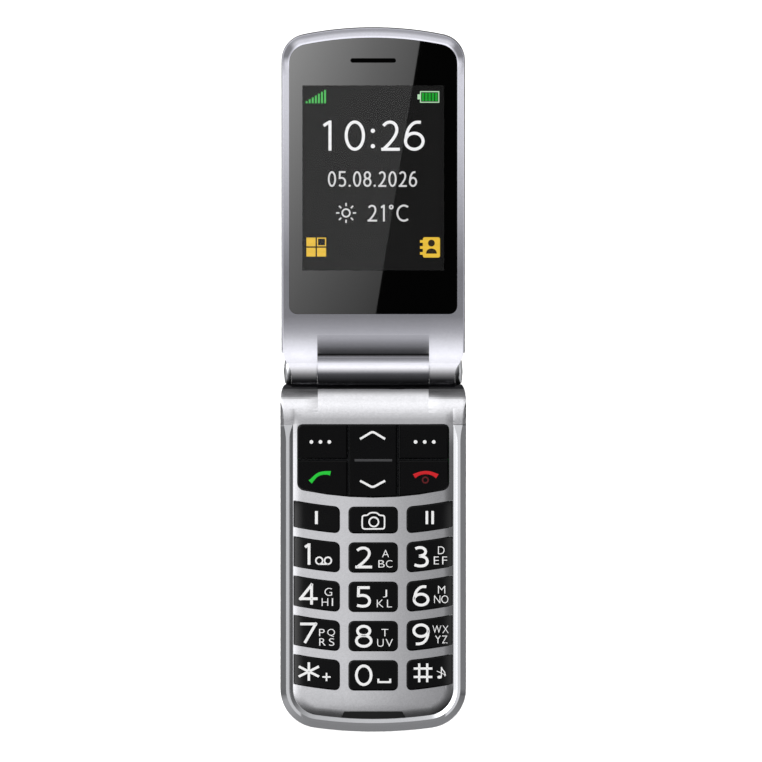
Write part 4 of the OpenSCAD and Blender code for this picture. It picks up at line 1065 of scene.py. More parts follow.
@dataclass
class Keypad:
    """All keys of the base unit, with their marks. t is the distance from the hinge axis."""

    key_w: float = 13.9
    gap: float = 0.12
    inner_x: float = 9.3
    outer_x: float = 22.28
    corner: float = 1.5
    small: float = 0.3
    smile_r: float = 114.5
    memory_t: float = 37.81
    memory_h: float = 7.56
    number_t: float = 47.8
    pitch: float = 11.0
    key_h: float = 8.57
    cluster_half: float = 21.3
    cluster_t: tuple[float, float, float] = (14.73, 24.67, 35.36)
    cluster_r: float = 95.5
    cluster_edge: float = 0.45
    rocker_gap: float = 0.05
    bar_x: Point = (-5.25, 5.35)
    bar_y: Point = (-23.1, -22.3)
    top: float = 11.15
    keys: dict[str, Piece] = field(default_factory=dict)

    def cap(self, name: str, column: Column, t0: float, height: float) -> Keycap:
        """Plans a key of the numbered rows or the memory row.

        Args:
            name: the key's name.
            column: its column.
            t0: where its opening starts.
            height: how long its opening is.

        Returns:
            The key's plan.
        """
        t = (t0 + self.gap, t0 + height - self.gap)
        r = self.corner - self.gap
        if column is Column.MIDDLE:
            half = self.key_w / 2 - self.gap
            return Keycap(name, (-half, half), t, (r, r, r, r))
        inner = self.inner_x + self.gap
        x = (inner, self.outer_x) if column is Column.RIGHT else (-self.outer_x, -inner)
        corners = (r, self.small, self.small, r)
        return Keycap(name, x, t, corners, self.smile_r, self.smile_r, rolls=True)

    def cluster_cap(self, name: str, side: int, low: bool) -> Keycap:
        """Plans one of the four outer keys of the navigation block.

        Args:
            name: the key's name.
            side: -1 on the left and 1 on the right.
            low: whether it is one of the lower two.

        Returns:
            The key's plan.
        """
        near, split, far = self.cluster_t
        small = self.small
        x0 = self.key_w / 2 + self.gap / 2 + self.gap
        x1 = self.cluster_half - self.gap
        x = (x0, x1) if side > 0 else (-x1, -x0)
        half = self.gap / 2 + self.gap
        if low:
            t, far_r = (split + half, far - self.gap), self.cluster_r
            corners = (small, small, self.corner, small)
        else:
            t, far_r = (near + self.gap, split - half), 0.0
            corners = (small, 1.4, small, small)
        return Keycap(name, x, t, corners, 0.0, far_r, edge=self.cluster_edge)

    def rocker_cap(self) -> Keycap:
        """Plans the rocker in the middle of the navigation block.

        Returns:
            The rocker's plan.
        """
        near, _, far = self.cluster_t
        half = self.key_w / 2 - self.gap / 2 - self.gap
        t = (near + self.rocker_gap + self.gap, far - self.rocker_gap - self.gap)
        corners = (self.small,) * 4
        return Keycap(
            "rocker_cap", (-half, half), t, corners, 0.0, self.cluster_r, edge=self.cluster_edge
        )

    def build(self) -> None:
        """Models every key, dresses it and rides it on its body."""
        caps = {
            "softkey_left": self.cluster_cap("softkey_left_cap", -1, False),
            "softkey_right": self.cluster_cap("softkey_right_cap", 1, False),
            "call_key": self.cluster_cap("call_key_cap", -1, True),
            "end_key": self.cluster_cap("end_key_cap", 1, True),
            "navigation_rocker": self.rocker_cap(),
        }
        rows = [("memory_key_1", "camera_key", "memory_key_2"), ("key_1", "key_2", "key_3"),
                ("key_4", "key_5", "key_6"), ("key_7", "key_8", "key_9"),
                ("key_star", "key_0", "key_hash")]
        for number, row in enumerate(rows):
            t0 = self.number_t + (number - 1) * self.pitch if number else self.memory_t
            height = self.key_h if number else self.memory_h
            for body, column in zip(row, Column):
                caps[body] = self.cap(f"{body}_cap", column, t0, height)
        for body, cap in caps.items():
            piece = cap.build()
            dress(piece, KEY_BLACK.material())
            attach(piece, body)
            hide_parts(body)
            self.keys[body] = piece
        LOG.info("keys: %d", len(caps))
        self.rocker_bar()
        self.print_marks()

    def rocker_bar(self) -> None:
        """Models the raised bar across the rocker; its grey colour is a painted sheen of its bevel.
        """
        bar = block("rocker_bar", self.bar_x, self.bar_y, (self.top - 0.1, self.top + 0.12))
        bevel_edges(bar, lambda e: all(v.co.z / MM > self.top for v in e.verts), 0.2, 3)
        finish_mesh(bar, 40)
        # The bar's grey colour is painted sheen.
        dress(bar, SHEEN_GREY.material())
        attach(bar, "navigation_rocker")

    def print_marks(self) -> None:
        """Prints the marks on the keys."""
        for body, marks in MARKS.items():
            self.print_on(body, f"{body}_mark", marks, WHITE_INK)
        for body, name, finish, mark in COLOURED:
            self.print_on(body, name, [mark], finish)

    def print_on(self, body: str, name: str, marks: list[Mark], finish: Finish) -> None:
        """Draws marks as one thin piece of ink that follows a key's top.

        Args:
            body: the key's body.
            name: the new piece's name.
            marks: what is printed.
            finish: the ink.
        """
        z = (self.top - 0.015, self.top + 0.02)
        parts: list[Piece] = []
        for mark in marks:
            if mark.pen:
                parts += drawn(mark, z)
            else:
                parts.append(lettered(mark, z))
        piece = join(parts, name)
        piece.visible_glossy = False
        if body in ROLLED:
            move_points(piece, lambda p: Vector((p.x, p.y, p.z - ROLL.drop(p.x))))
        finish_mesh(piece, 50)
        dress(piece, finish.material())
        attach(piece, body)


# Width of the pen for the digits, and of the dots on the soft keys with their place along Y.
BIG = 0.77
DOT = 0.52
DOT_Y = -17.52


def dots(*places: float) -> list[Mark]:
    """A row of dots, with their middles at these places along X."""
    return [Mark("dot", (x - DOT, x + DOT), (DOT_Y - DOT, DOT_Y + DOT), DOT) for x in places]


# Keys whose printed tops roll down at their outer ends.
ROLLED = ("key_1", "key_3", "key_4", "key_6", "key_7", "key_9", "key_star", "key_hash")
# Body and what is printed on it in white.
MARKS: dict[str, list[Mark]] = {
    "key_1": [
        Mark("1", (-19.46, -17.4), (-51.95, -45.9), BIG),
        Mark("reels", (-16.27, -11.5), (-51.95, -49.6), 0.42),
    ],
    "key_2": [
        Mark("2", (-5.07, -0.28), (-52.93, -46.8), BIG), Mark("A", (2.49, 4.45), (-49.8, -47.75)),
        Mark("B", (1.46, 3.2), (-52.68, -50.64)), Mark("C", (3.58, 5.38), (-52.68, -50.64)),
    ],
    "key_3": [
        Mark("3", (11.17, 15.68), (-52.68, -46.69), BIG),
        Mark("D", (18.14, 19.96), (-48.93, -46.78)), Mark("E", (16.97, 18.4), (-51.8, -49.6)),
        Mark("F", (19.32, 20.7), (-51.8, -49.6)),
    ],
    "key_4": [
        Mark("4", (-20.75, -15.54), (-63.1, -57.16), BIG),
        Mark("G", (-13.61, -11.51), (-60.6, -58.4)), Mark("H", (-14.42, -12.6), (-63.43, -61.3)),
        Mark("I", (-11.6, -11.2), (-63.43, -61.3)),
    ],
    "key_5": [
        Mark("5", (-4.9, -0.5), (-63.94, -57.94), BIG), Mark("J", (2.7, 3.89), (-61.05, -58.9)),
        Mark("K", (1.01, 2.91), (-63.82, -61.7)), Mark("L", (3.85, 5.26), (-63.82, -61.7)),
    ],
    "key_6": [
        Mark("6", (11.06, 15.76), (-63.6, -57.61), BIG),
        Mark("M", (18.14, 20.16), (-59.96, -57.83)), Mark("N", (17.05, 18.79), (-62.65, -60.5)),
        Mark("O", (19.07, 21.03), (-62.65, -60.5)),
    ],
    "key_7": [
        Mark("7", (-20.52, -15.71), (-73.9, -68.11), BIG),
        Mark("P", (-15.15, -13.6), (-71.92, -69.9)), Mark("Q", (-12.85, -10.72), (-72.1, -69.9)),
        Mark("R", (-15.09, -13.33), (-74.55, -72.5)), Mark("S", (-12.38, -10.9), (-74.6, -72.5)),
    ],
    "key_8": [
        Mark("8", (-5.1, -0.2), (-75.14, -68.75), BIG), Mark("T", (2.3, 4.23), (-71.95, -69.9)),
        Mark("U", (1.12, 2.91), (-74.86, -72.7)), Mark("V", (3.47, 5.52), (-74.86, -72.7)),
    ],
    "key_9": [
        Mark("9", (10.98, 15.88), (-74.55, -68.36), BIG),
        Mark("W", (16.6, 19.05), (-71.02, -68.92)), Mark("X", (19.38, 21.11), (-71.02, -68.92)),
        Mark("Y", (17.3, 18.95), (-73.9, -71.75)), Mark("Z", (19.26, 20.78), (-73.9, -71.75)),
    ],
    "key_star": [
        Mark("star", (-20.92, -15.12), (-84.43, -79.2), 0.68),
        Mark("plus", (-14.25, -11.9), (-84.52, -82.16), 0.46),
    ],
    "key_0": [
        Mark("0", (-5.1, -0.2), (-85.86, -79.84), BIG),
        Mark("space", (1.18, 5.04), (-85.05, -83.79), 0.55),
    ],
    "key_hash": [
        Mark("hash", (11.31, 16.6), (-84.82, -79.48), 0.62),
        Mark("dot", (17.95, 19.2), (-83.8, -82.95), 0.42),
        Mark("stem", (18.95, 20.3), (-83.5, -80.5), 0.27),
        Mark("slash", (17.8, 20.4), (-82.9, -81.6), 0.2),
    ],
    "memory_key_1": [Mark("bar", (-16.35, -15.45), (-40.58, -36.83), 0.8)],
    "memory_key_2": [
        Mark("bar", (14.58, 15.48), (-40.58, -36.83), 0.72),
        Mark("bar", (16.2, 17.1), (-40.58, -36.83), 0.72),
    ],
    "camera_key": [Mark("camera", (-3.3, 3.4), (-42.1, -37.1), 0.42)],
    "navigation_rocker": [
        Mark("up", (-4.0, 3.65), (-17.0, -14.5), 0.62),
        Mark("down", (-4.0, 3.65), (-30.4, -28.1), 0.62),
    ],
    "softkey_left": dots(-17.3, -14.78, -12.29),
    "softkey_right": dots(11.87, 14.42, 16.97),
}
# Body, name of the piece of ink, its finish and what it draws.
COLOURED: tuple[tuple[str, str, Finish, Mark], ...] = (
    ("call_key", "call_key_mark", GREEN_INK,
     Mark("lifted", (-18.1, -11.5), (-29.2, -25.72), 0.92, 1.42)),
    ("end_key", "end_key_mark", RED_INK, Mark("laid", (11.0, 18.4), (-27.6, -25.62), 0.92, 1.5)),
    ("end_key", "end_key_ring", DARK_RED_INK, Mark("0", (13.6, 15.6), (-29.2, -27.2), 0.42)),
)


# Shells ----------------------------------------------------------------------------


@dataclass
class Nose:
    """Top of the base unit towards the hinge, from the tip of the nose to the trim.

    t is the distance from the hinge axis. The solid's nose has two plain sides and a plain web
    between them. The finished one is a single skin that runs on in front of the barrel.
    """

    start: float = 13.6
    top: float = 10.7
    drop: float = 8.0
    side_len: float = 10.1
    middle_len: float = 11.0
    middle_half: float = 15.55
    tip: float = 4.9
    tip_slope: float = 1.8
    web_len: float = 9.6
    web_drop: float = 1.0
    blend_from: float = 6.0
    blend_len: float = 2.6
    roll_from: float = 10.0
    crest_from: float = 15.0
    crest_to: float = 20.0
    crest: float = 0.7
    crest_inner: float = 23.6
    trim_inner: float = 22.4
    trim_outer: float = 26.0
    inner_slope: float = 0.68
    outer_slope: float = 1.125
    outer_foot: float = 9.6
    tuck_from: float = 15.13
    barrel_r: float = 4.6
    barrel_z: float = 11.6

    def fall(self, t: float, length: float) -> float:
        """Height on the quarter ellipse that falls from the nose's start over a length."""
        share = min(max(self.start - t, 0.0) / length, 1.0)
        return self.top - self.drop * (1 - math.sqrt(1 - share * share))

    def side_z(self, t: float) -> float:
        """Height of the solid's nose beside the barrel."""
        return self.fall(t, self.side_len)

    def middle_z(self, t: float) -> float:
        """Height of the finished nose in front of the barrel, with its steep tip."""
        return self.fall(max(t, self.tip), self.middle_len) + max(self.tip - t, 0.0) * self.tip_slope

    def web_z(self, t: float) -> float:
        """Height of the solid's plain web in front of the barrel."""
        radius = (self.web_len**2 + self.web_drop**2) / (2 * self.web_drop)
        return self.top - sag(max(self.start - t, 0.0), radius)

    def side_top(self, t: float) -> float:
        """Height of the finished nose beside the barrel, which joins the middle's."""
        near = smooth((t - self.blend_from) / self.blend_len)
        return self.side_z(t) * (1 - near) + self.middle_z(t) * near

    def shaped(self, p: Vector) -> Vector:
        """Moves a point of the solid's nose onto the finished one.

        Args:
            p: a point of the keypad plate.

        Returns:
            Its finished place.
        """
        t = HINGE_Y - p.y
        x = abs(p.x)
        radius = math.hypot(t, p.z - self.barrel_z)
        if x <= 15.52 and radius < self.barrel_r + 0.03 and t < 4.7:
            return self.under_barrel(p, radius)
        if x <= self.middle_half and 4.05 < t < self.start:
            goal = self.middle_z(t)
            on_web = p.z > self.web_z(t) - 0.04
            return Vector((p.x, p.y, goal if on_web else min(p.z, goal - 0.3)))
        rolled = self.top - ROLL.drop(p.x)
        on_roll = 19.7 < x < 22.43 and self.roll_from < t < 14.98 and abs(p.z - rolled) < 0.02
        if on_roll and rolled < self.side_z(t):
            share = smooth((t - self.roll_from) / (self.crest_from - self.roll_from))
            return Vector((p.x, p.y, self.side_top(t) - (self.top - rolled) * share))
        if x > self.middle_half and 3.55 < t < self.crest_from and p.z > self.side_z(t) - 0.12:
            return Vector((p.x, HINGE_Y - (14.985 if t > 14.8 else t), self.side_top(t)))
        return p

    def under_barrel(self, p: Vector, radius: float) -> Vector:
        """Shrinks the plate's own barrel a little, so that it hides in the modelled one.

        Args:
            p: a point of the plate's barrel.
            radius: how far it is from the hinge axis.

        Returns:
            Its new place; a point deep inside stays.
        """
        if radius <= self.barrel_r - 0.1:
            return p
        scale = (self.barrel_r - 0.25) / radius
        y = HINGE_Y - (HINGE_Y - p.y) * scale
        return Vector((p.x, y, self.barrel_z + (p.z - self.barrel_z) * scale))

    def trimmed(self, p: Vector) -> Vector:
        """Lets the crest of the trim rise from the nose, with its slopes as steep as ever.

        Args:
            p: a point of the trim.

        Returns:
            Its finished place.
        """
        t = HINGE_Y - p.y
        if abs(p.x) < 22.6 or t > self.crest_to or p.z < self.top + 0.02:
            return p
        left = 1 - (t - self.crest_from) / (self.crest_to - self.crest_from)
        height = self.crest * (1 - left * left)
        if abs(p.x) < 24:
            x = self.crest_inner - (self.crest - height) / self.inner_slope
        else:
            x = self.trim_outer - (self.top + height - self.outer_foot) / self.outer_slope
        return Vector((math.copysign(x, p.x), p.y, self.top + height))

    def shape_trim(self, trim: Piece) -> None:
        """Gives the trim its finished near end.

        Args:
            trim: a copy of the solid.
        """
        stops = [HINGE_Y - 15.2 - 0.4 * k for k in range(13)]
        slice_along(trim, 1, stops, lambda c: abs(c.x) > self.trim_inner and c.y > -100)
        for side in (-25.02, 25.02):
            slice_along(trim, 0, [side], lambda c: abs(c.x) > 24 and HINGE_Y - c.y < 20.1)
        move_points(trim, self.trimmed)

    def tucked(self, p: Vector) -> Vector:
        """Lets the near end of the trim run on under the nose, so that no seam shows.

        Args:
            p: a point of the trim.

        Returns:
            Its finished place.
        """
        ahead = self.tuck_from - (HINGE_Y - p.y)
        if abs(p.x) < self.trim_inner or ahead < 0:
            return p
        return Vector((p.x, HINGE_Y - (self.tuck_from - ahead * 3.0), p.z - ahead * 1.2))

    def shape(self, plate: Piece) -> None:
        """Gives the keypad plate its finished nose.

        Args:
            plate: a copy of the solid.
        """
        reach = HINGE_Y - self.crest_from
        slice_along(plate, 0, [-15.56, 15.56], lambda c: abs(c.x) < 15 and c.y > reach)

        def near_side(c: Vector) -> bool:
            """Says whether a face's middle lies on the nose's sides."""
            return abs(c.x) > 15.6 and c.y > reach - 0.2

        # The web, with cuts closer together where its tip bends.
        fine = [8.8 + 0.3 * k for k in range(16)]
        stops = [4.3, 4.6, 4.9, 5.2, 5.6, 6.0, 6.5, 7.0, 7.6, 8.2, *fine]
        slice_along(
            plate, 1, [HINGE_Y - t for t in stops],
            lambda c: abs(c.x) < self.middle_half and -3.4 > c.y - HINGE_Y > -self.start - 0.3,
        )
        # The sides, along and across.
        stops = [3.7, 4.0, 4.4, 4.8, 5.4, 6.0, 6.6, 7.2, 7.8, 8.2, *fine, 14.0, 14.6]
        slice_along(plate, 1, [HINGE_Y - t for t in stops], near_side)
        for side in (-1, 1):
            stops = [side * x for x in (17.6, 19.6, 22.46, 23.6, 24.4, 24.9)]
            slice_along(plate, 0, stops, near_side)
        # The strip that rolls towards the trim.
        slice_along(
            plate, 1, [HINGE_Y - 10.4 - 0.4 * k for k in range(12)],
            lambda c: 19.5 < abs(c.x) < 22.44 and 10 < c.z < 10.75,
        )
        move_points(plate, self.shaped)
        with editing(plate):
            bpy.ops.mesh.select_all(action="SELECT")
            bpy.ops.mesh.remove_doubles(threshold=0.01 * MM)


@dataclass
class BaseShell:
    """The shells of the base unit."""

    edge: float = 0.12
    plate_edge: float = 0.06
    trim_angle: float = 11.0
    barrel_half: float = 15.62
    bore_r: float = 2.85
    bore_deep: float = 13.2
    flex_cuts: tuple[float, ...] = (2.5, 3.4, 4.3, 5.2, 6.1, 7.0, 8.0, 9.5)
    flex_from: float = 3.3
    flex_deep: float = 0.5
    flex_thick: float = 0.1
    flex_top: float = 8.3
    nose: Nose = field(default_factory=Nose)
    plate: Piece | None = None
    trim: Piece | None = None
    barrel: Piece | None = None

    def build(self) -> None:
        """Dresses the shells that show."""
        for node, name, finish, slot in (
            ("keypad_plate", "keypad_plate_shell", SILVER, "silver"),
            ("base_trim", "base_trim_band", PLATING, "bright_trim"),
            ("slot_insert", "slot_insert_block", INSERT_BLACK, "black_gloss"),
            ("rear_housing", "rear_housing_shell", CHARCOAL, "charcoal"),
            ("battery_cover", "battery_cover_shell", CHARCOAL, "charcoal"),
        ):
            piece = clean_copy(node, name)
            if node == "keypad_plate":
                self.nose.shape(piece)
                self.plate = piece
            if node == "base_trim":
                self.nose.shape_trim(piece)
                self.trim = piece
            soften(piece, self.edge if node != "keypad_plate" else self.plate_edge)
            if node == "base_trim":
                move_points(piece, self.nose.tucked)
                shade(piece, self.trim_angle)
            dress(piece, finish.material())
            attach(piece, "base")
            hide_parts(node)
            LOG.info("%s: %d faces", name, len(piece.data.polygons))
        self.build_barrel()
        self.build_flex()
        # The real shells hardly mirror each other, so they stay out of each other's gloss.
        for shell in (self.plate, self.barrel, self.trim):
            shell.visible_glossy = False

    def build_barrel(self) -> None:
        """Models the barrel: a tube with round edges and a bore at each end."""
        nose = self.nose
        bpy.ops.object.select_all(action="DESELECT")
        bpy.ops.mesh.primitive_cylinder_add(
            vertices=128, radius=nose.barrel_r * MM, depth=2 * self.barrel_half * MM,
            location=(0, HINGE_Y * MM, nose.barrel_z * MM), rotation=(0, math.pi / 2, 0),
        )
        piece = bpy.context.active_object
        piece.name = piece.data.name = "hinge_barrel"
        place_in_mesh(piece)
        end = self.barrel_half - 0.01
        with editing(piece):
            edit_select(piece, "FACE", lambda f: abs(f.calc_center_median().x) / MM > end)
            bpy.ops.mesh.inset(thickness=(nose.barrel_r - self.bore_r) * MM)
            for side in (-1, 1):
                edit_select(
                    piece, "FACE",
                    lambda f: side * f.calc_center_median().x / MM > end and len(f.verts) > 8,
                )
                bpy.ops.mesh.extrude_region_move(
                    TRANSFORM_OT_translate={"value": (-side * self.bore_deep * MM, 0, 0)}
                )
        finish_mesh(piece, 35)
        dress(piece, LID_SILVER.material())
        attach(piece, "base")
        self.barrel = piece

    def build_flex(self) -> None:
        """Models the flat cable that leaves the barrel, kept under the nose's skin."""
        piece = clean_copy("base_flex", "base_flex_strip")
        slice_along(piece, 1, [HINGE_Y - t for t in self.flex_cuts])
        move_points(piece, self.laid_flex)
        shade(piece, 40)
        dress(piece, COVERLAY.material())
        piece.visible_glossy = False
        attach(piece, "base")
        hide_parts("base_flex")

    def laid_flex(self, p: Vector) -> Vector:
        """Presses the flat cable down under the nose's skin.

        Args:
            p: a point of the cable.

        Returns:
            Its place under the skin.
        """
        t = HINGE_Y - p.y
        if t <= self.flex_from:
            return p
        thick = self.flex_thick if p.z > self.flex_top else 0.0
        return Vector((p.x, p.y, min(p.z, self.nose.middle_z(t) - self.flex_deep + thick)))


@dataclass
class Lip:
    """The edge of the lid's face in front of the barrel, which rolls off gently.

    Distances are from the hinge axis. The solid's lip is an arc; each bend gives a distance on
    it, and the distance and the height of the same point on the finished lip.
    """

    centre: Point = (9.12, -4.36)
    radius: float = 4.87
    half: float = 15.7
    axis_z: float = 11.6
    bends: tuple[Place, ...] = (
        (4.9, 4.74, -1.2), (5.0, 4.745, -0.3), (5.32, 4.76, 0.08), (5.68, 4.86, 0.2),
        (6.09, 5.1, 0.305), (6.53, 5.5, 0.43), (7.01, 6.0, 0.55), (7.51, 6.6, 0.64),
        (8.04, 7.25, 0.69), (8.58, 7.95, 0.695), (9.12, 8.6, 0.655), (9.67, 9.35, 0.55),
        (10.2, 10.2, 0.389),
    )

    def shaped(self, p: Vector) -> Vector:
        """Moves a point of the solid's lip onto the finished one.

        Args:
            p: a point of the lid's frame.

        Returns:
            Its finished place.
        """
        t, h = p.y - HINGE_Y, p.z - self.axis_z
        off = abs(math.hypot(t - self.centre[0], h - self.centre[1]) - self.radius)
        if abs(p.x) > self.half or off > 0.03 or not 4.9 < t < 10.19:
            return p
        place = between(tuple((plain, finished) for plain, finished, _ in self.bends), t)
        height = between(tuple((plain, level) for plain, _, level in self.bends), t)
        return Vector((p.x, HINGE_Y + place, self.axis_z + height))


def stands(edge: bmesh.types.BMEdge) -> bool:
    """Says whether an edge runs upwards."""
    return abs(edge.verts[0].co.z - edge.verts[1].co.z) > 1e-6


@dataclass
class Picture:
    """The lit signs on the display."""

    x: Point = (-19.85, 19.85)
    y: Point = (30.5, 82.3)
    top: float = 10.05
    low: Point = (0.005, 0.03)
    high: Point = (0.02, 0.045)
    digit_pen: float = 0.85
    date_pen: float = 0.5
    date_x: float = -12.7
    date_y: Point = (53.9, 58.3)
    date_w: float = 2.3
    sun: Point = (-7.6, 46.6)
    degrees_x: float = -1.6
    degrees_y: Point = (44.2, 48.9)
    degrees_w: float = 2.7

    def build(self) -> None:
        """Lays out all of the picture."""
        ground = block("picture_ground", self.x, self.y, (self.top - 0.05, self.top + 0.01))
        bevel_edges(ground, stands, 0.1, 2)
        self.light_up(ground, DARK_GROUND)
        self.light_up(join(self.clock(), "picture_clock"), CLOCK_WHITE)
        date = self.figures("05.08.2026", self.date_x, self.date_y, self.date_w)
        self.light_up(join(date, "picture_date"), SOFT_WHITE)
        self.light_up(join(self.weather(), "picture_weather"), SOFT_WHITE)
        self.signal_sign()
        self.battery_sign()
        self.menu_sign()
        self.contacts_sign()

    def level(self, reach: Point) -> Point:
        """Heights of a layer of the picture."""
        return self.top + reach[0], self.top + reach[1]

    def light_up(self, piece: Piece, glow: Glow) -> None:
        """Finishes a piece of the picture and rides it on the lid.

        Args:
            piece: the piece.
            glow: its light.
        """
        finish_mesh(piece, 50)
        piece.visible_glossy = False
        dress(piece, glow.material())
        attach(piece, "lid")

    def boxes(self, places: Iterable[tuple[Point, Point]]) -> list[Piece]:
        """Flat boxes of the lower layer, each from its reach along X and along Y."""
        return [block("box", x, y, self.level(self.low)) for x, y in places]

    def clock(self) -> list[Piece]:
        """Draws the time.

        Returns:
            The strokes.
        """
        z = self.level(self.low)
        digits = (("1", (-14.3, -11.4)), ("0", (-8.0, -2.3)), ("2", (2.2, 7.5)), ("6", (8.6, 14.4)))
        strokes: list[Piece] = []
        for figure, x in digits:
            strokes += drawn(Mark(figure, x, (64.0, 72.5), self.digit_pen), z)
        for y in (65.3, 69.6):
            strokes += drawn(Mark("dot", (-0.7, 0.5), (y - 0.6, y + 0.6), 0.6), z)
        return strokes

    def figures(self, text: str, x: float, y: Point, width: float) -> list[Piece]:
        """Draws a row of digits and full stops.

        Args:
            text: the digits and stops.
            x: where the row starts, in millimetres.
            y: the row's reach along Y.
            width: the width of a digit.

        Returns:
            The strokes.
        """
        z = self.level(self.low)
        strokes: list[Piece] = []
        for sign in text:
            if sign == ".":
                strokes += drawn(Mark("dot", (x + 0.02, x + 0.66), (y[0], y[0] + 0.64), 0.32), z)
                x += 1.3
            elif sign == "1":
                strokes += drawn(Mark("1", (x + 0.3, x + 1.7), y, self.date_pen), z)
                x += width + 0.25
            else:
                strokes += drawn(Mark(sign, (x, x + width), y, self.date_pen), z)
                x += width + 0.57
        return strokes

    def weather(self) -> list[Piece]:
        """Draws a sun and a temperature.

        Returns:
            The strokes.
        """
        z = self.level(self.low)
        cx, cy = self.sun
        strokes = drawn(Mark("0", (cx - 1.3, cx + 1.3), (cy - 1.3, cy + 1.3), 0.45), z)
        for k in range(8):
            turn = math.radians(45 * k)
            ray = [(cx + r * math.cos(turn), cy + r * math.sin(turn)) for r in (1.9, 2.8)]
            strokes.append(stroke(ray, 0.42, z))
        strokes += self.figures("21", self.degrees_x, self.degrees_y, self.degrees_w)
        strokes += drawn(Mark("0", (4.4, 5.7), (47.6, 48.9), 0.4), z)
        strokes.append(stroke(arc(8.6, 46.55, 1.85, 2.15, 52, 308), 0.52, z))
        return strokes

    def signal_sign(self) -> None:
        """Draws seven bars that grow to the right."""
        places = [((-18.9 + 0.86 * k, -18.39 + 0.86 * k), (77.3, 77.9 + 0.52 * k)) for k in range(7)]
        self.light_up(join(self.boxes(places), "signal_bars"), SIGNAL_GREEN)

    def battery_sign(self) -> None:
        """Draws a battery with five cells."""
        wide, tall = (13.1, 18.5), (77.45, 80.7)
        rim = (
            (wide, (80.42, tall[1])), (wide, (tall[0], 77.73)),
            ((wide[0], 13.38), tall), ((18.22, wide[1]), tall), ((12.4, wide[0]), (78.4, 79.8)),
        )
        self.light_up(join(self.boxes(rim), "battery_outline"), PALE_GREEN)
        cells = [((13.6 + 0.93 * k, 14.28 + 0.93 * k), (77.93, 80.22)) for k in range(5)]
        self.light_up(join(self.boxes(cells), "battery_cells"), DEEP_GREEN)

    def menu_sign(self) -> None:
        """Draws three full tiles and an open one."""
        left, right = (-18.7, -16.15), (-15.75, -13.2)
        lower, upper = (34.4, 36.85), (37.25, 39.7)
        tiles = (
            (left, upper), (left, lower), (right, lower),
            (right, (39.4, upper[1])), (right, (upper[0], 37.55)),
            ((right[0], -15.45), upper), ((-13.5, right[1]), upper),
        )
        self.light_up(join(self.boxes(tiles), "menu_tiles"), SIGN_YELLOW)

    def contacts_sign(self) -> None:
        """Draws a book with three tabs and a person on it."""
        (book,) = self.boxes([((13.9, 18.7), (34.1, 39.8))])
        bevel_edges(book, stands, 0.5, 3)
        tabs = self.boxes(((13.1, 13.95), (y, y + 0.75)) for y in (34.9, 36.55, 38.25))
        self.light_up(join([book, *tabs], "contacts_book"), SIGN_YELLOW)
        middle = sum(self.level(self.high)) / 2
        discs: list[Piece] = []
        bpy.ops.object.select_all(action="DESELECT")
        for y, reach, deep in ((38.15, 0.95, 0.95), (35.35, 1.5, 1.3)):
            bpy.ops.mesh.primitive_cylinder_add(
                vertices=40, radius=MM, depth=0.015 * MM, location=(16.3 * MM, y * MM, middle * MM),
            )
            disc = bpy.context.active_object
            disc.scale = (reach, deep, 1)
            place_in_mesh(disc)
            discs.append(disc)
        move_points(discs[1], lambda p: Vector((p.x, max(p.y, 35.2), p.z)))
        self.light_up(join(discs, "contacts_person"), SIGN_BROWN)


@dataclass
class Lid:
    """The lid: shells, window and the lit display."""

    edge: float = 0.12
    window_edge: float = 0.05
    picture: Picture = field(default_factory=Picture)
    window: Piece | None = None
    pane: Piece | None = None
    frame: Piece | None = None
    caps: Piece | None = None

    def build(self) -> None:
        """Models and dresses all that shows of the lid."""
        self.frame = self.shell("lid_frame", "lid_frame_shell", LID_SILVER, "silver")
        self.shell("lid_rear_cover", "lid_rear_shell", CHARCOAL, "charcoal")
        self.caps = self.shell("hinge_caps", "hinge_cap_domes", PLATING, "bright_trim")
        self.build_window()
        self.picture.build()

    def shell(self, node: str, name: str, finish: Finish, slot: str) -> Piece:
        """Copies a shell of the lid, finishes its shape and dresses it.

        Args:
            node: the frame's node.
            name: the new piece's name.
            finish: what it is made of.
            slot: its colour slot; not used.

        Returns:
            The shell.
        """
        piece = clean_copy(node, name)
        if node == "lid_frame":
            move_points(piece, Lip().shaped)
        soften(piece, self.edge if node != "hinge_caps" else 0)
        dress(piece, finish.material())
        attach(piece, "lid")
        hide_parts(node)
        piece.visible_glossy = False
        LOG.info("%s: %d faces", name, len(piece.data.polygons))
        return piece

    def build_window(self) -> None:
        """Models the window with its black border and clear middle."""
        piece = clean_copy("display_lens", "display_window")
        slice_along(piece, 0, self.picture.x)
        slice_along(piece, 1, self.picture.y)
        soften(piece, self.window_edge)
        with editing(piece):
            edit_select(piece, "FACE", self.in_picture)
            bpy.ops.mesh.separate(type="SELECTED")
        self.window = piece
        self.pane = next(o for o in bpy.context.selected_objects if o is not piece)
        self.pane.name = self.pane.data.name = "display_pane"
        for part, finish, slot in (
            (self.window, GLOSS_BLACK, "window_black"),
            (self.pane, PANE, "display_glass"),
        ):
            part.visible_glossy = False
            dress(part, finish.material())
            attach(part, "lid")
            LOG.info("%s: %d faces", part.name, len(part.data.polygons))
        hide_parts("display_lens")

    def in_picture(self, face: bmesh.types.BMFace) -> bool:
        """Says whether a face of the window lies over the picture.

        Args:
            face: the face.

        Returns:
            Whether it does.
        """
        c = face.calc_center_median() / MM
        (x0, x1), (y0, y1) = self.picture.x, self.picture.y
        return x0 < c.x < x1 and y0 < c.y < y1 and abs(face.normal.z) > 0.9


# Studio ------------------------------------------------------------------------------


MATH = "ShaderNodeMath"
MIX = "ShaderNodeMix"


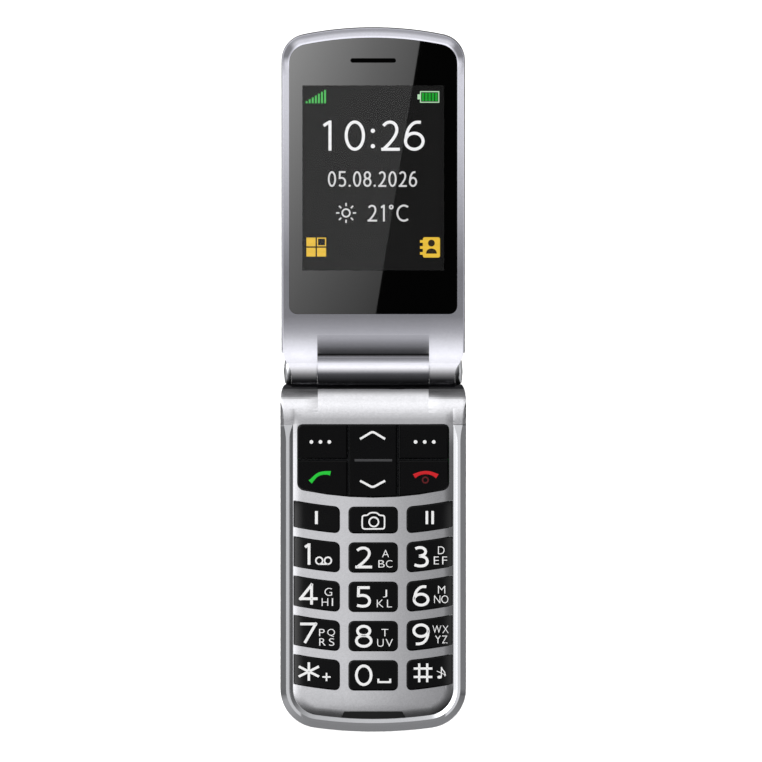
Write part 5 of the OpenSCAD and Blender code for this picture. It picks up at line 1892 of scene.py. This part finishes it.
@dataclass
class Brightness:
    """How bright a light panel is over X and Y in millimetres, as shader nodes."""

    tree: Tree
    x: Socket
    y: Socket

    def curve(self, value: Socket, *stops: Point) -> Socket:
        """Lets a level follow straight lines between stops.

        Args:
            value: what the level depends on.
            stops: pairs of a value and its level.

        Returns:
            The level.
        """
        low, high = stops[0][0], stops[-1][0]
        top = max(level for _, level in stops)
        share = add_node(
            self.tree, "ShaderNodeMapRange", {"Value": value, "From Min": low, "From Max": high}
        )
        node = add_node(self.tree, "ShaderNodeValToRGB", {"Fac": share.outputs["Result"]})
        ramp = node.color_ramp
        for k, (place, level) in enumerate(stops):
            spot = ramp.elements[k] if k < 2 else ramp.elements.new(1.0)
            spot.position = (place - low) / (high - low)
            spot.color = (level / top,) * 3 + (1.0,)
        return self.node(MATH, {0: node.outputs["Color"], 1: top}, operation="MULTIPLY")

    def node(self, kind: str, inputs: dict, **settings: str) -> Socket:
        """Adds a node to the panel's tree and returns its first output."""
        return first_output(self.tree, kind, inputs, **settings)

    def away(self, x: Socket, spot: Point) -> Socket:
        """Measures the distance from a spot.

        Args:
            x: X, or its size where both sides are alike.
            spot: the spot.

        Returns:
            The distance in millimetres.
        """
        place = add_node(self.tree, "ShaderNodeCombineXYZ", {"X": x, "Y": self.y})
        node = add_node(
            self.tree, "ShaderNodeVectorMath", {0: place.outputs["Vector"], 1: (*spot, 0.0)},
            operation="DISTANCE",
        )
        return node.outputs["Value"]

    def left_part(self) -> Socket:
        """1 on the left of the slanting line across the window and 0 on its right.

        Returns:
            The level.
        """
        lean, foot = 0.162, (0.73, 18.4)
        inputs = {0: self.y, 1: lean, 2: foot[0] - foot[1] * lean}
        edge = self.node(MATH, inputs, operation="MULTIPLY_ADD")
        return self.node(MATH, {0: self.x, 1: edge}, operation="LESS_THAN")

    def pane(self) -> Socket:
        """Even on the left of the slanting line and dark on its right."""
        return self.node(MATH, {0: self.left_part(), 1: 0.63}, operation="MULTIPLY")

    def window(self) -> Socket:
        """Bright on the left of the slanting line, fading away from the top left.

        Returns:
            The level.
        """
        across = self.curve(
            self.x, (-26.0, 1.0), (-12.0, 0.68), (0.0, 0.46), (14.0, 0.29), (26.0, 0.2)
        )
        along = self.curve(self.y, (14.0, 0.36), (40.0, 0.56), (66.0, 0.84), (98.0, 1.25))
        level = self.node(MATH, {0: across, 1: along}, operation="MULTIPLY")
        cut = self.node(MATH, {0: level, 1: self.left_part()}, operation="MULTIPLY")
        return self.node(MATH, {0: cut, 1: 73.0}, operation="MULTIPLY")

    def rim(self) -> Socket:
        """Brighter towards the free end of the lid, with a dim outer edge and corners there.

        Returns:
            The level.
        """
        level = self.curve(
            self.y, (18.0, 0.0), (30.0, 0.0), (37.0, 0.08), (50.0, 0.24), (65.0, 0.42),
            (80.0, 0.55), (92.0, 0.56), (100.0, 0.54),
        )
        near_end = self.curve(self.y, (80.0, 0.0), (85.0, 0.0), (89.0, 1.0), (100.0, 1.0))
        inputs = {"Factor": near_end, "A": 1.0, "B": self.rim_end()}
        factor = self.node(MIX, inputs, data_type="FLOAT")
        return self.node(MATH, {0: level, 1: factor}, operation="MULTIPLY")

    def rim_end(self) -> Socket:
        """A bright band round the free end, with a brighter line in it and dim corners.

        Returns:
            The level.
        """
        side = self.node(MATH, {0: self.x}, operation="ABSOLUTE")
        crown = self.node(MATH, {0: self.away(side, (0.0, 0.65)), 1: 95.1}, operation="SUBTRACT")
        bend = self.node(MATH, {0: self.away(side, (18.0, 88.7)), 1: 5.4}, operation="SUBTRACT")
        turn = self.node(MATH, {0: side, 1: 20.5}, operation="GREATER_THAN")
        out = self.node(MIX, {"Factor": turn, "A": crown, "B": bend}, data_type="FLOAT")
        band = self.curve(
            out, (-2.0, 1.0), (1.2, 1.0), (1.7, 0.45), (2.0, 0.3), (3.2, 0.35), (5.0, 0.35)
        )
        corner = self.away(side, (24.3, 92.0))
        spot = self.curve(corner, (0.0, 0.0), (1.6, 0.02), (2.6, 0.6), (3.6, 1.0))
        line = self.curve(out, (-0.6, 0.0), (-0.1, 0.75), (0.25, 0.75), (0.6, 0.0), (5.0, 0.0))
        inputs = {0: band, 1: spot, 2: line}
        return self.node(MATH, inputs, operation="MULTIPLY_ADD")

    def plate(self) -> Socket:
        """Bright on the left of the keypad, dim on its right, even over the nose.

        Returns:
            The level.
        """
        across = self.curve(
            self.x, (-26.0, 0.42), (-8.0, 0.42), (0.0, 0.33), (8.0, 0.2), (18.7, 0.08),
            (26.0, 0.04),
        )
        nose = self.curve(self.y, (-18.0, 0.0), (-14.0, 1.0), (4.0, 1.0))
        fade = self.curve(
            self.y, (-11.4, 0.22), (-8.3, 0.33), (-4.8, 0.44), (-1.1, 0.53), (3.6, 0.46),
            (9.6, 0.11), (13.9, 0.06), (24.0, 0.0),
        )
        end = self.curve(
            self.y, (-112.0, 0.0), (-98.0, 0.0), (-94.5, 0.3), (-91.0, 0.85), (-88.0, 1.0),
            (24.0, 1.0),
        )
        level = self.node(MIX, {"Factor": nose, "A": across, "B": fade}, data_type="FLOAT")
        return self.node(MATH, {0: level, 1: end}, operation="MULTIPLY")

    def crest(self) -> Socket:
        """Bright over both long sides of the trim."""
        return self.curve(
            self.x, (-27.0, 0.36), (-20.5, 0.36), (-20.0, 0.0), (20.0, 0.0), (20.5, 0.45),
            (27.0, 0.45),
        )

    def keys(self) -> Socket:
        """Bright far out on both sides, for the ends of the keys that roll down.

        Returns:
            The level.
        """
        level = self.curve(
            self.x, (-45.0, 6.0), (-33.0, 6.0), (-26.0, 2.4), (-20.5, 0.1), (20.0, 0.0),
            (26.7, 1.4), (33.0, 2.0), (45.0, 2.0),
        )
        upper = self.node(MATH, {0: self.y, 1: -34.5}, operation="GREATER_THAN")
        return self.node(MIX, {"Factor": upper, "A": level, "B": 0.0}, data_type="FLOAT")

    def edge(self) -> Socket:
        """Nearly even, beside the right edge of the lid."""
        return self.curve(self.x, (28.0, 0.3), (36.0, 0.4), (70.0, 0.4))

    def end(self) -> Socket:
        """Dimmer towards both sides."""
        return self.curve(
            self.x, (-300.0, 0.08), (-120.0, 0.2), (-45.0, 0.24), (45.0, 0.24), (120.0, 0.2),
            (300.0, 0.08),
        )

    def roller(self) -> Socket:
        """A sharp band along the top of the barrel."""
        return self.curve(
            self.y, (1.2, 0.0), (1.9, 0.12), (2.6, 0.3), (3.2, 0.47), (4.1, 0.68), (5.4, 0.44),
            (6.6, 0.11), (8.0, 0.0),
        )

    def knuckle(self) -> Socket:
        """A wide band along the knuckles and none between them.

        Returns:
            The level.
        """
        band = self.curve(
            self.y, (-5.0, 0.0), (-2.0, 0.05), (-0.3, 0.12), (0.9, 0.2), (1.9, 0.29), (2.9, 0.4),
            (4.1, 0.48), (5.4, 0.36), (7.0, 0.12), (9.0, 0.22), (12.5, 0.17), (16.0, 0.0),
        )
        outside = self.curve(self.x, (-15.9, 1.0), (-15.7, 0.0), (15.7, 0.0), (15.9, 1.0))
        return self.node(MATH, {0: band, 1: outside}, operation="MULTIPLY")


@dataclass
class Studio:
    """Floor, light and camera."""

    scale: float = 0.21336
    centre: Point = (2.18, -0.46)
    toward_lid: Stops = (
        (-1.0, 0.005), (-0.9, 0.015), (-0.766, 0.032), (-0.53, 0.055), (-0.3, 0.095),
        (-0.15, 0.17), (0.0, 0.24), (0.32, 0.42), (0.41, 0.5), (0.53, 0.67), (0.72, 0.95),
        (0.84, 1.1), (0.9, 0.86), (0.945, 0.47), (0.98, 0.24), (1.0, 0.12),
    )
    sideways: Stops = (
        (-1.0, 0.9), (-0.96, 2.4), (-0.9, 4.6), (-0.6, 3.1), (-0.36, 1.7), (-0.22, 1.1),
        (-0.1, 1.0), (0.0, 1.0), (0.1, 0.85), (0.24, 0.58), (0.4, 0.42), (0.6, 0.36),
        (0.93, 0.38), (0.97, 0.9), (1.0, 1.9),
    )
    fill_watts: float = 16.0
    wash_strength: float = 3.4
    floor_object: Piece | None = None

    def build(self) -> None:
        """Sets up all of the studio."""
        self.floor()
        self.world()
        self.lamps()
        self.camera()

    def floor(self) -> None:
        """Lays a plain pale floor."""
        bpy.ops.object.select_all(action="DESELECT")
        bpy.ops.mesh.primitive_plane_add(size=6, location=(0, 0, -0.1 * MM))
        floor = bpy.context.active_object
        floor.name = "studio_floor"
        dress(floor, PAPER.material())
        floor.visible_glossy = False
        self.floor_object = floor

    def ramp(self, tree: Tree, value: Socket, stops: Stops, top: float) -> Socket:
        """Lets a brightness follow a smooth curve.

        Args:
            tree: the sky's nodes.
            value: a direction's share along an axis, from -1 to 1.
            stops: pairs of that share and the brightness there.
            top: the brightness that counts as 1.

        Returns:
            The brightness.
        """
        share = add_node(
            tree, "ShaderNodeMapRange", {"Value": value, "From Min": -1.0, "From Max": 1.0}
        )
        node = add_node(tree, "ShaderNodeFloatCurve", {"Value": share.outputs["Result"]})
        points = node.mapping.curves[0].points
        for k, (place, level) in enumerate(stops):
            spot = ((place + 1) / 2, level / top)
            if k < 2:
                points[k].location = spot
            else:
                points.new(*spot)
        node.mapping.update()
        return node.outputs["Value"]

    def world(self) -> None:
        """Makes a soft sky: bright beyond the lid and on the left, dim on the right."""
        world = bpy.data.worlds.new("soft_studio")
        bpy.context.scene.world = world
        world.use_nodes = True
        tree = world.node_tree
        tree.nodes.clear()
        place = add_node(tree, "ShaderNodeTexCoord")
        axes = add_node(tree, "ShaderNodeSeparateXYZ", {"Vector": place.outputs["Generated"]})
        along = self.ramp(tree, axes.outputs["Y"], self.toward_lid, 1.2)
        across = self.ramp(tree, axes.outputs["X"], self.sideways, 5.0)
        below = first_output(
            tree, "ShaderNodeMapRange",
            {"Value": axes.outputs["Z"], "From Min": -0.3, "From Max": 0.05, "To Min": 0.6,
             "To Max": 6.0},
        )
        product = first_output(tree, MATH, {0: along, 1: across}, operation="MULTIPLY")
        level = first_output(tree, MATH, {0: product, 1: below}, operation="MULTIPLY")
        sky = add_node(tree, "ShaderNodeBackground", {"Color": (1, 1, 1, 1), "Strength": level})
        add_node(tree, "ShaderNodeOutputWorld", {"Surface": sky.outputs["Background"]})

    def area(self, name: str, size: Point, place: Place, target: Place, watts: float) -> Piece:
        """Adds a soft box.

        Args:
            name: its name.
            size: its width and height, in metres.
            place: its middle, in metres.
            target: what it shines at, in metres.
            watts: its power.

        Returns:
            The soft box's lamp.
        """
        bpy.ops.object.select_all(action="DESELECT")
        bpy.ops.object.light_add(type="AREA", location=place)
        lamp = bpy.context.active_object
        lamp.name = lamp.data.name = name
        lamp.data.shape = "RECTANGLE"
        lamp.data.size, lamp.data.size_y = size
        lamp.data.energy = watts
        towards = Vector(target) - Vector(place)
        lamp.rotation_euler = towards.to_track_quat("-Z", "Y").to_euler()
        lamp.visible_camera = False
        return lamp

    def only(self, name: str, *pieces: Piece) -> bpy.types.Collection:
        """Collects the pieces that a lamp shines on.

        Args:
            name: the collection's name.
            pieces: the pieces.

        Returns:
            The collection.
        """
        group = bpy.data.collections.new(name)
        for piece in pieces:
            group.objects.link(piece)
        return group

    def lamps(self) -> None:
        """Adds the fill light from above and a wash on the floor."""
        fill = self.area("fill_above", (1.6, 1.6), (0, 0, 1.5), (0, 0, 0), self.fill_watts)
        fill.visible_glossy = False
        fill.visible_transmission = False
        bpy.ops.object.light_add(type="SUN", location=(0, 0, 2))
        wash = bpy.context.active_object
        wash.name = wash.data.name = "floor_wash"
        wash.data.energy = self.wash_strength
        wash.data.angle = 1.0
        floor = self.only("floor_only", self.floor_object)
        wash.light_linking.receiver_collection = floor
        wash.light_linking.blocker_collection = floor

    def gloss_only(self, lamp: Piece, *pieces: Piece) -> None:
        """Lets a panel shine on some pieces only, and only in their gloss.

        Args:
            lamp: the panel's lamp.
            pieces: what it shines on.
        """
        lamp.visible_diffuse = False
        lamp.visible_transmission = False
        lamp.light_linking.receiver_collection = self.only(f"{lamp.name}_only", *pieces)

    def follow(self, lamp: Piece, pattern: Callable[[Brightness], Socket], tint: str) -> None:
        """Gives a panel a brightness that changes over its face.

        Args:
            lamp: the panel's lamp.
            pattern: builds the brightness.
            tint: the panel's colour.
        """
        lamp.data.use_nodes = True
        tree = lamp.data.node_tree
        tree.nodes.clear()
        spot = add_node(tree, "ShaderNodeNewGeometry")
        scaled = add_node(
            tree, "ShaderNodeVectorMath",
            {0: spot.outputs["Position"], "Scale": 1 / MM}, operation="SCALE",
        )
        axes = add_node(tree, "ShaderNodeSeparateXYZ", {"Vector": scaled.outputs["Vector"]})
        level = pattern(Brightness(tree, axes.outputs["X"], axes.outputs["Y"]))
        shine = add_node(tree, "ShaderNodeEmission", {"Color": linear(tint), "Strength": level})
        add_node(tree, "ShaderNodeOutputLight", {"Surface": shine.outputs["Emission"]})

    def panel(
        self, name: str, x: Point, y: Point, height: float,
        pattern: Callable[[Brightness], Socket], *pieces: Piece, tint: str = "FFFFFF",
    ) -> None:
        """Hangs a panel of light flat above some pieces, seen only in their gloss.

        Args:
            name: the panel's name.
            x: its reach across, in millimetres.
            y: its reach along, in millimetres.
            height: its height in millimetres.
            pattern: builds its brightness.
            pieces: what it shines on.
            tint: its colour.
        """
        size = ((x[1] - x[0]) * MM, (y[1] - y[0]) * MM)
        centre = ((x[0] + x[1]) / 2 * MM, (y[0] + y[1]) / 2 * MM, height * MM)
        below = (centre[0], centre[1], 0)
        lamp = self.area(name, size, centre, below, math.pi * size[0] * size[1])
        lamp.rotation_euler = (0, 0, 0)
        self.follow(lamp, pattern, tint)
        self.gloss_only(lamp, *pieces)

    def upright(self, name: str, size: Point, place: Place, level: float, *pieces: Piece) -> Piece:
        """Stands a panel of light beside some pieces, seen only in their gloss.

        Args:
            name: the panel's name.
            size: its width and height in millimetres.
            place: its middle in millimetres; it faces the part's middle along X or Y.
            level: its brightness.
            pieces: what it shines on.

        Returns:
            The panel's lamp.
        """
        x, y, z = (v * MM for v in place)
        wide, tall = size[0] * MM, size[1] * MM
        target = (0, y, z) if abs(x) > 1e-6 else (0, y - math.copysign(MM, y), z)
        lamp = self.area(name, (wide, tall), (x, y, z), target, level * math.pi * wide * tall)
        self.gloss_only(lamp, *pieces)
        return lamp

    def panels(self, lid: Lid, base: BaseShell, keypad: Keypad) -> None:
        """Hangs the light panels that the glossy faces mirror.

        Args:
            lid: the lid.
            base: the shells of the base unit.
            keypad: the keys.
        """
        look = Brightness
        self.panel("window_panel", (-26, 26), (14, 98), 60, look.window, lid.window)
        self.panel("pane_panel", (-26, 26), (14, 98), 60, look.pane, lid.pane)
        self.panel("rim_panel", (-30, 30), (16, 100), 12.8, look.rim, lid.frame)
        self.panel("edge_panel", (28, 70), (-110, 110), 24, look.edge, lid.frame)
        self.panel("plate_panel", (-40, 40), (-112, 24), 24, look.plate, base.plate)
        self.panel("crest_panel", (-27, 27), (-112, -6), 12.5, look.crest, base.trim)
        self.panel("key_panel", (-45, 45), (-112, 0), 24, look.keys, *keypad.keys.values())
        wide = self.upright("end_panel", (600, 130), (0, -140, 5), 1.0, base.trim)
        self.follow(wide, look.end, "FFFFFF")
        self.upright("roller_side", (31.2, 4.2), (0, 7.8, 14.4), 0.2, base.barrel)
        self.upright("cap_left", (40, 50), (-45, 2.2, -5), 0.22, lid.caps)
        self.upright("cap_right", (40, 50), (45, 2.2, -2), 0.42, lid.caps)
        self.upright("side_left", (110, 40), (-50, 50, -14), 0.22, lid.frame)
        self.upright("side_right", (110, 40), (50, 50, -14), 0.22, lid.frame)
        warm, cream = "FFFEF6", "FFFEF4"
        self.panel("roller_panel", (-15.6, 15.6), (1.2, 8), 18, look.roller, base.barrel, tint=warm)
        self.panel("knuckle_panel", (-26, 26), (-12, 16), 18, look.knuckle, lid.frame, tint=cream)

    def camera(self) -> None:
        """Hangs the camera straight above the open phone."""
        place = (self.centre[0] * MM, self.centre[1] * MM, 0.6)
        bpy.ops.object.camera_add(location=place)
        camera = bpy.context.active_object
        camera.data.type = "ORTHO"
        camera.data.ortho_scale = self.scale
        camera.data.clip_start, camera.data.clip_end = 0.01, 10
        bpy.context.scene.camera = camera
        bpy.context.scene.view_settings.view_transform = "Standard"


# Inner parts that reach the outside: only these may mirror in other pieces.
OUTSIDE = ("camera_window", "lid_screw_plugs", "earpiece_mesh", "display_module", "charging_socket")


def dress_inside() -> None:
    """Gives the frame's own inner parts their finishes."""
    for finish, nodes in CARRIED.items():
        for node in nodes:
            dress(frame["nodes"][node], finish.material())
            frame["nodes"][node].visible_glossy = node in OUTSIDE
    LOG.info("inner parts dressed: %d", sum(len(n) for n in CARRIED.values()))


def main() -> None:
    """Builds the studio and the phone in order."""
    logging.basicConfig(level=logging.INFO, format="%(name)s: %(message)s")
    studio = Studio()
    studio.build()
    dress_inside()
    base = BaseShell()
    base.build()
    keypad = Keypad()
    keypad.build()
    lid = Lid()
    lid.build()
    studio.panels(lid, base, keypad)


if __name__ == "__main__":
    main()
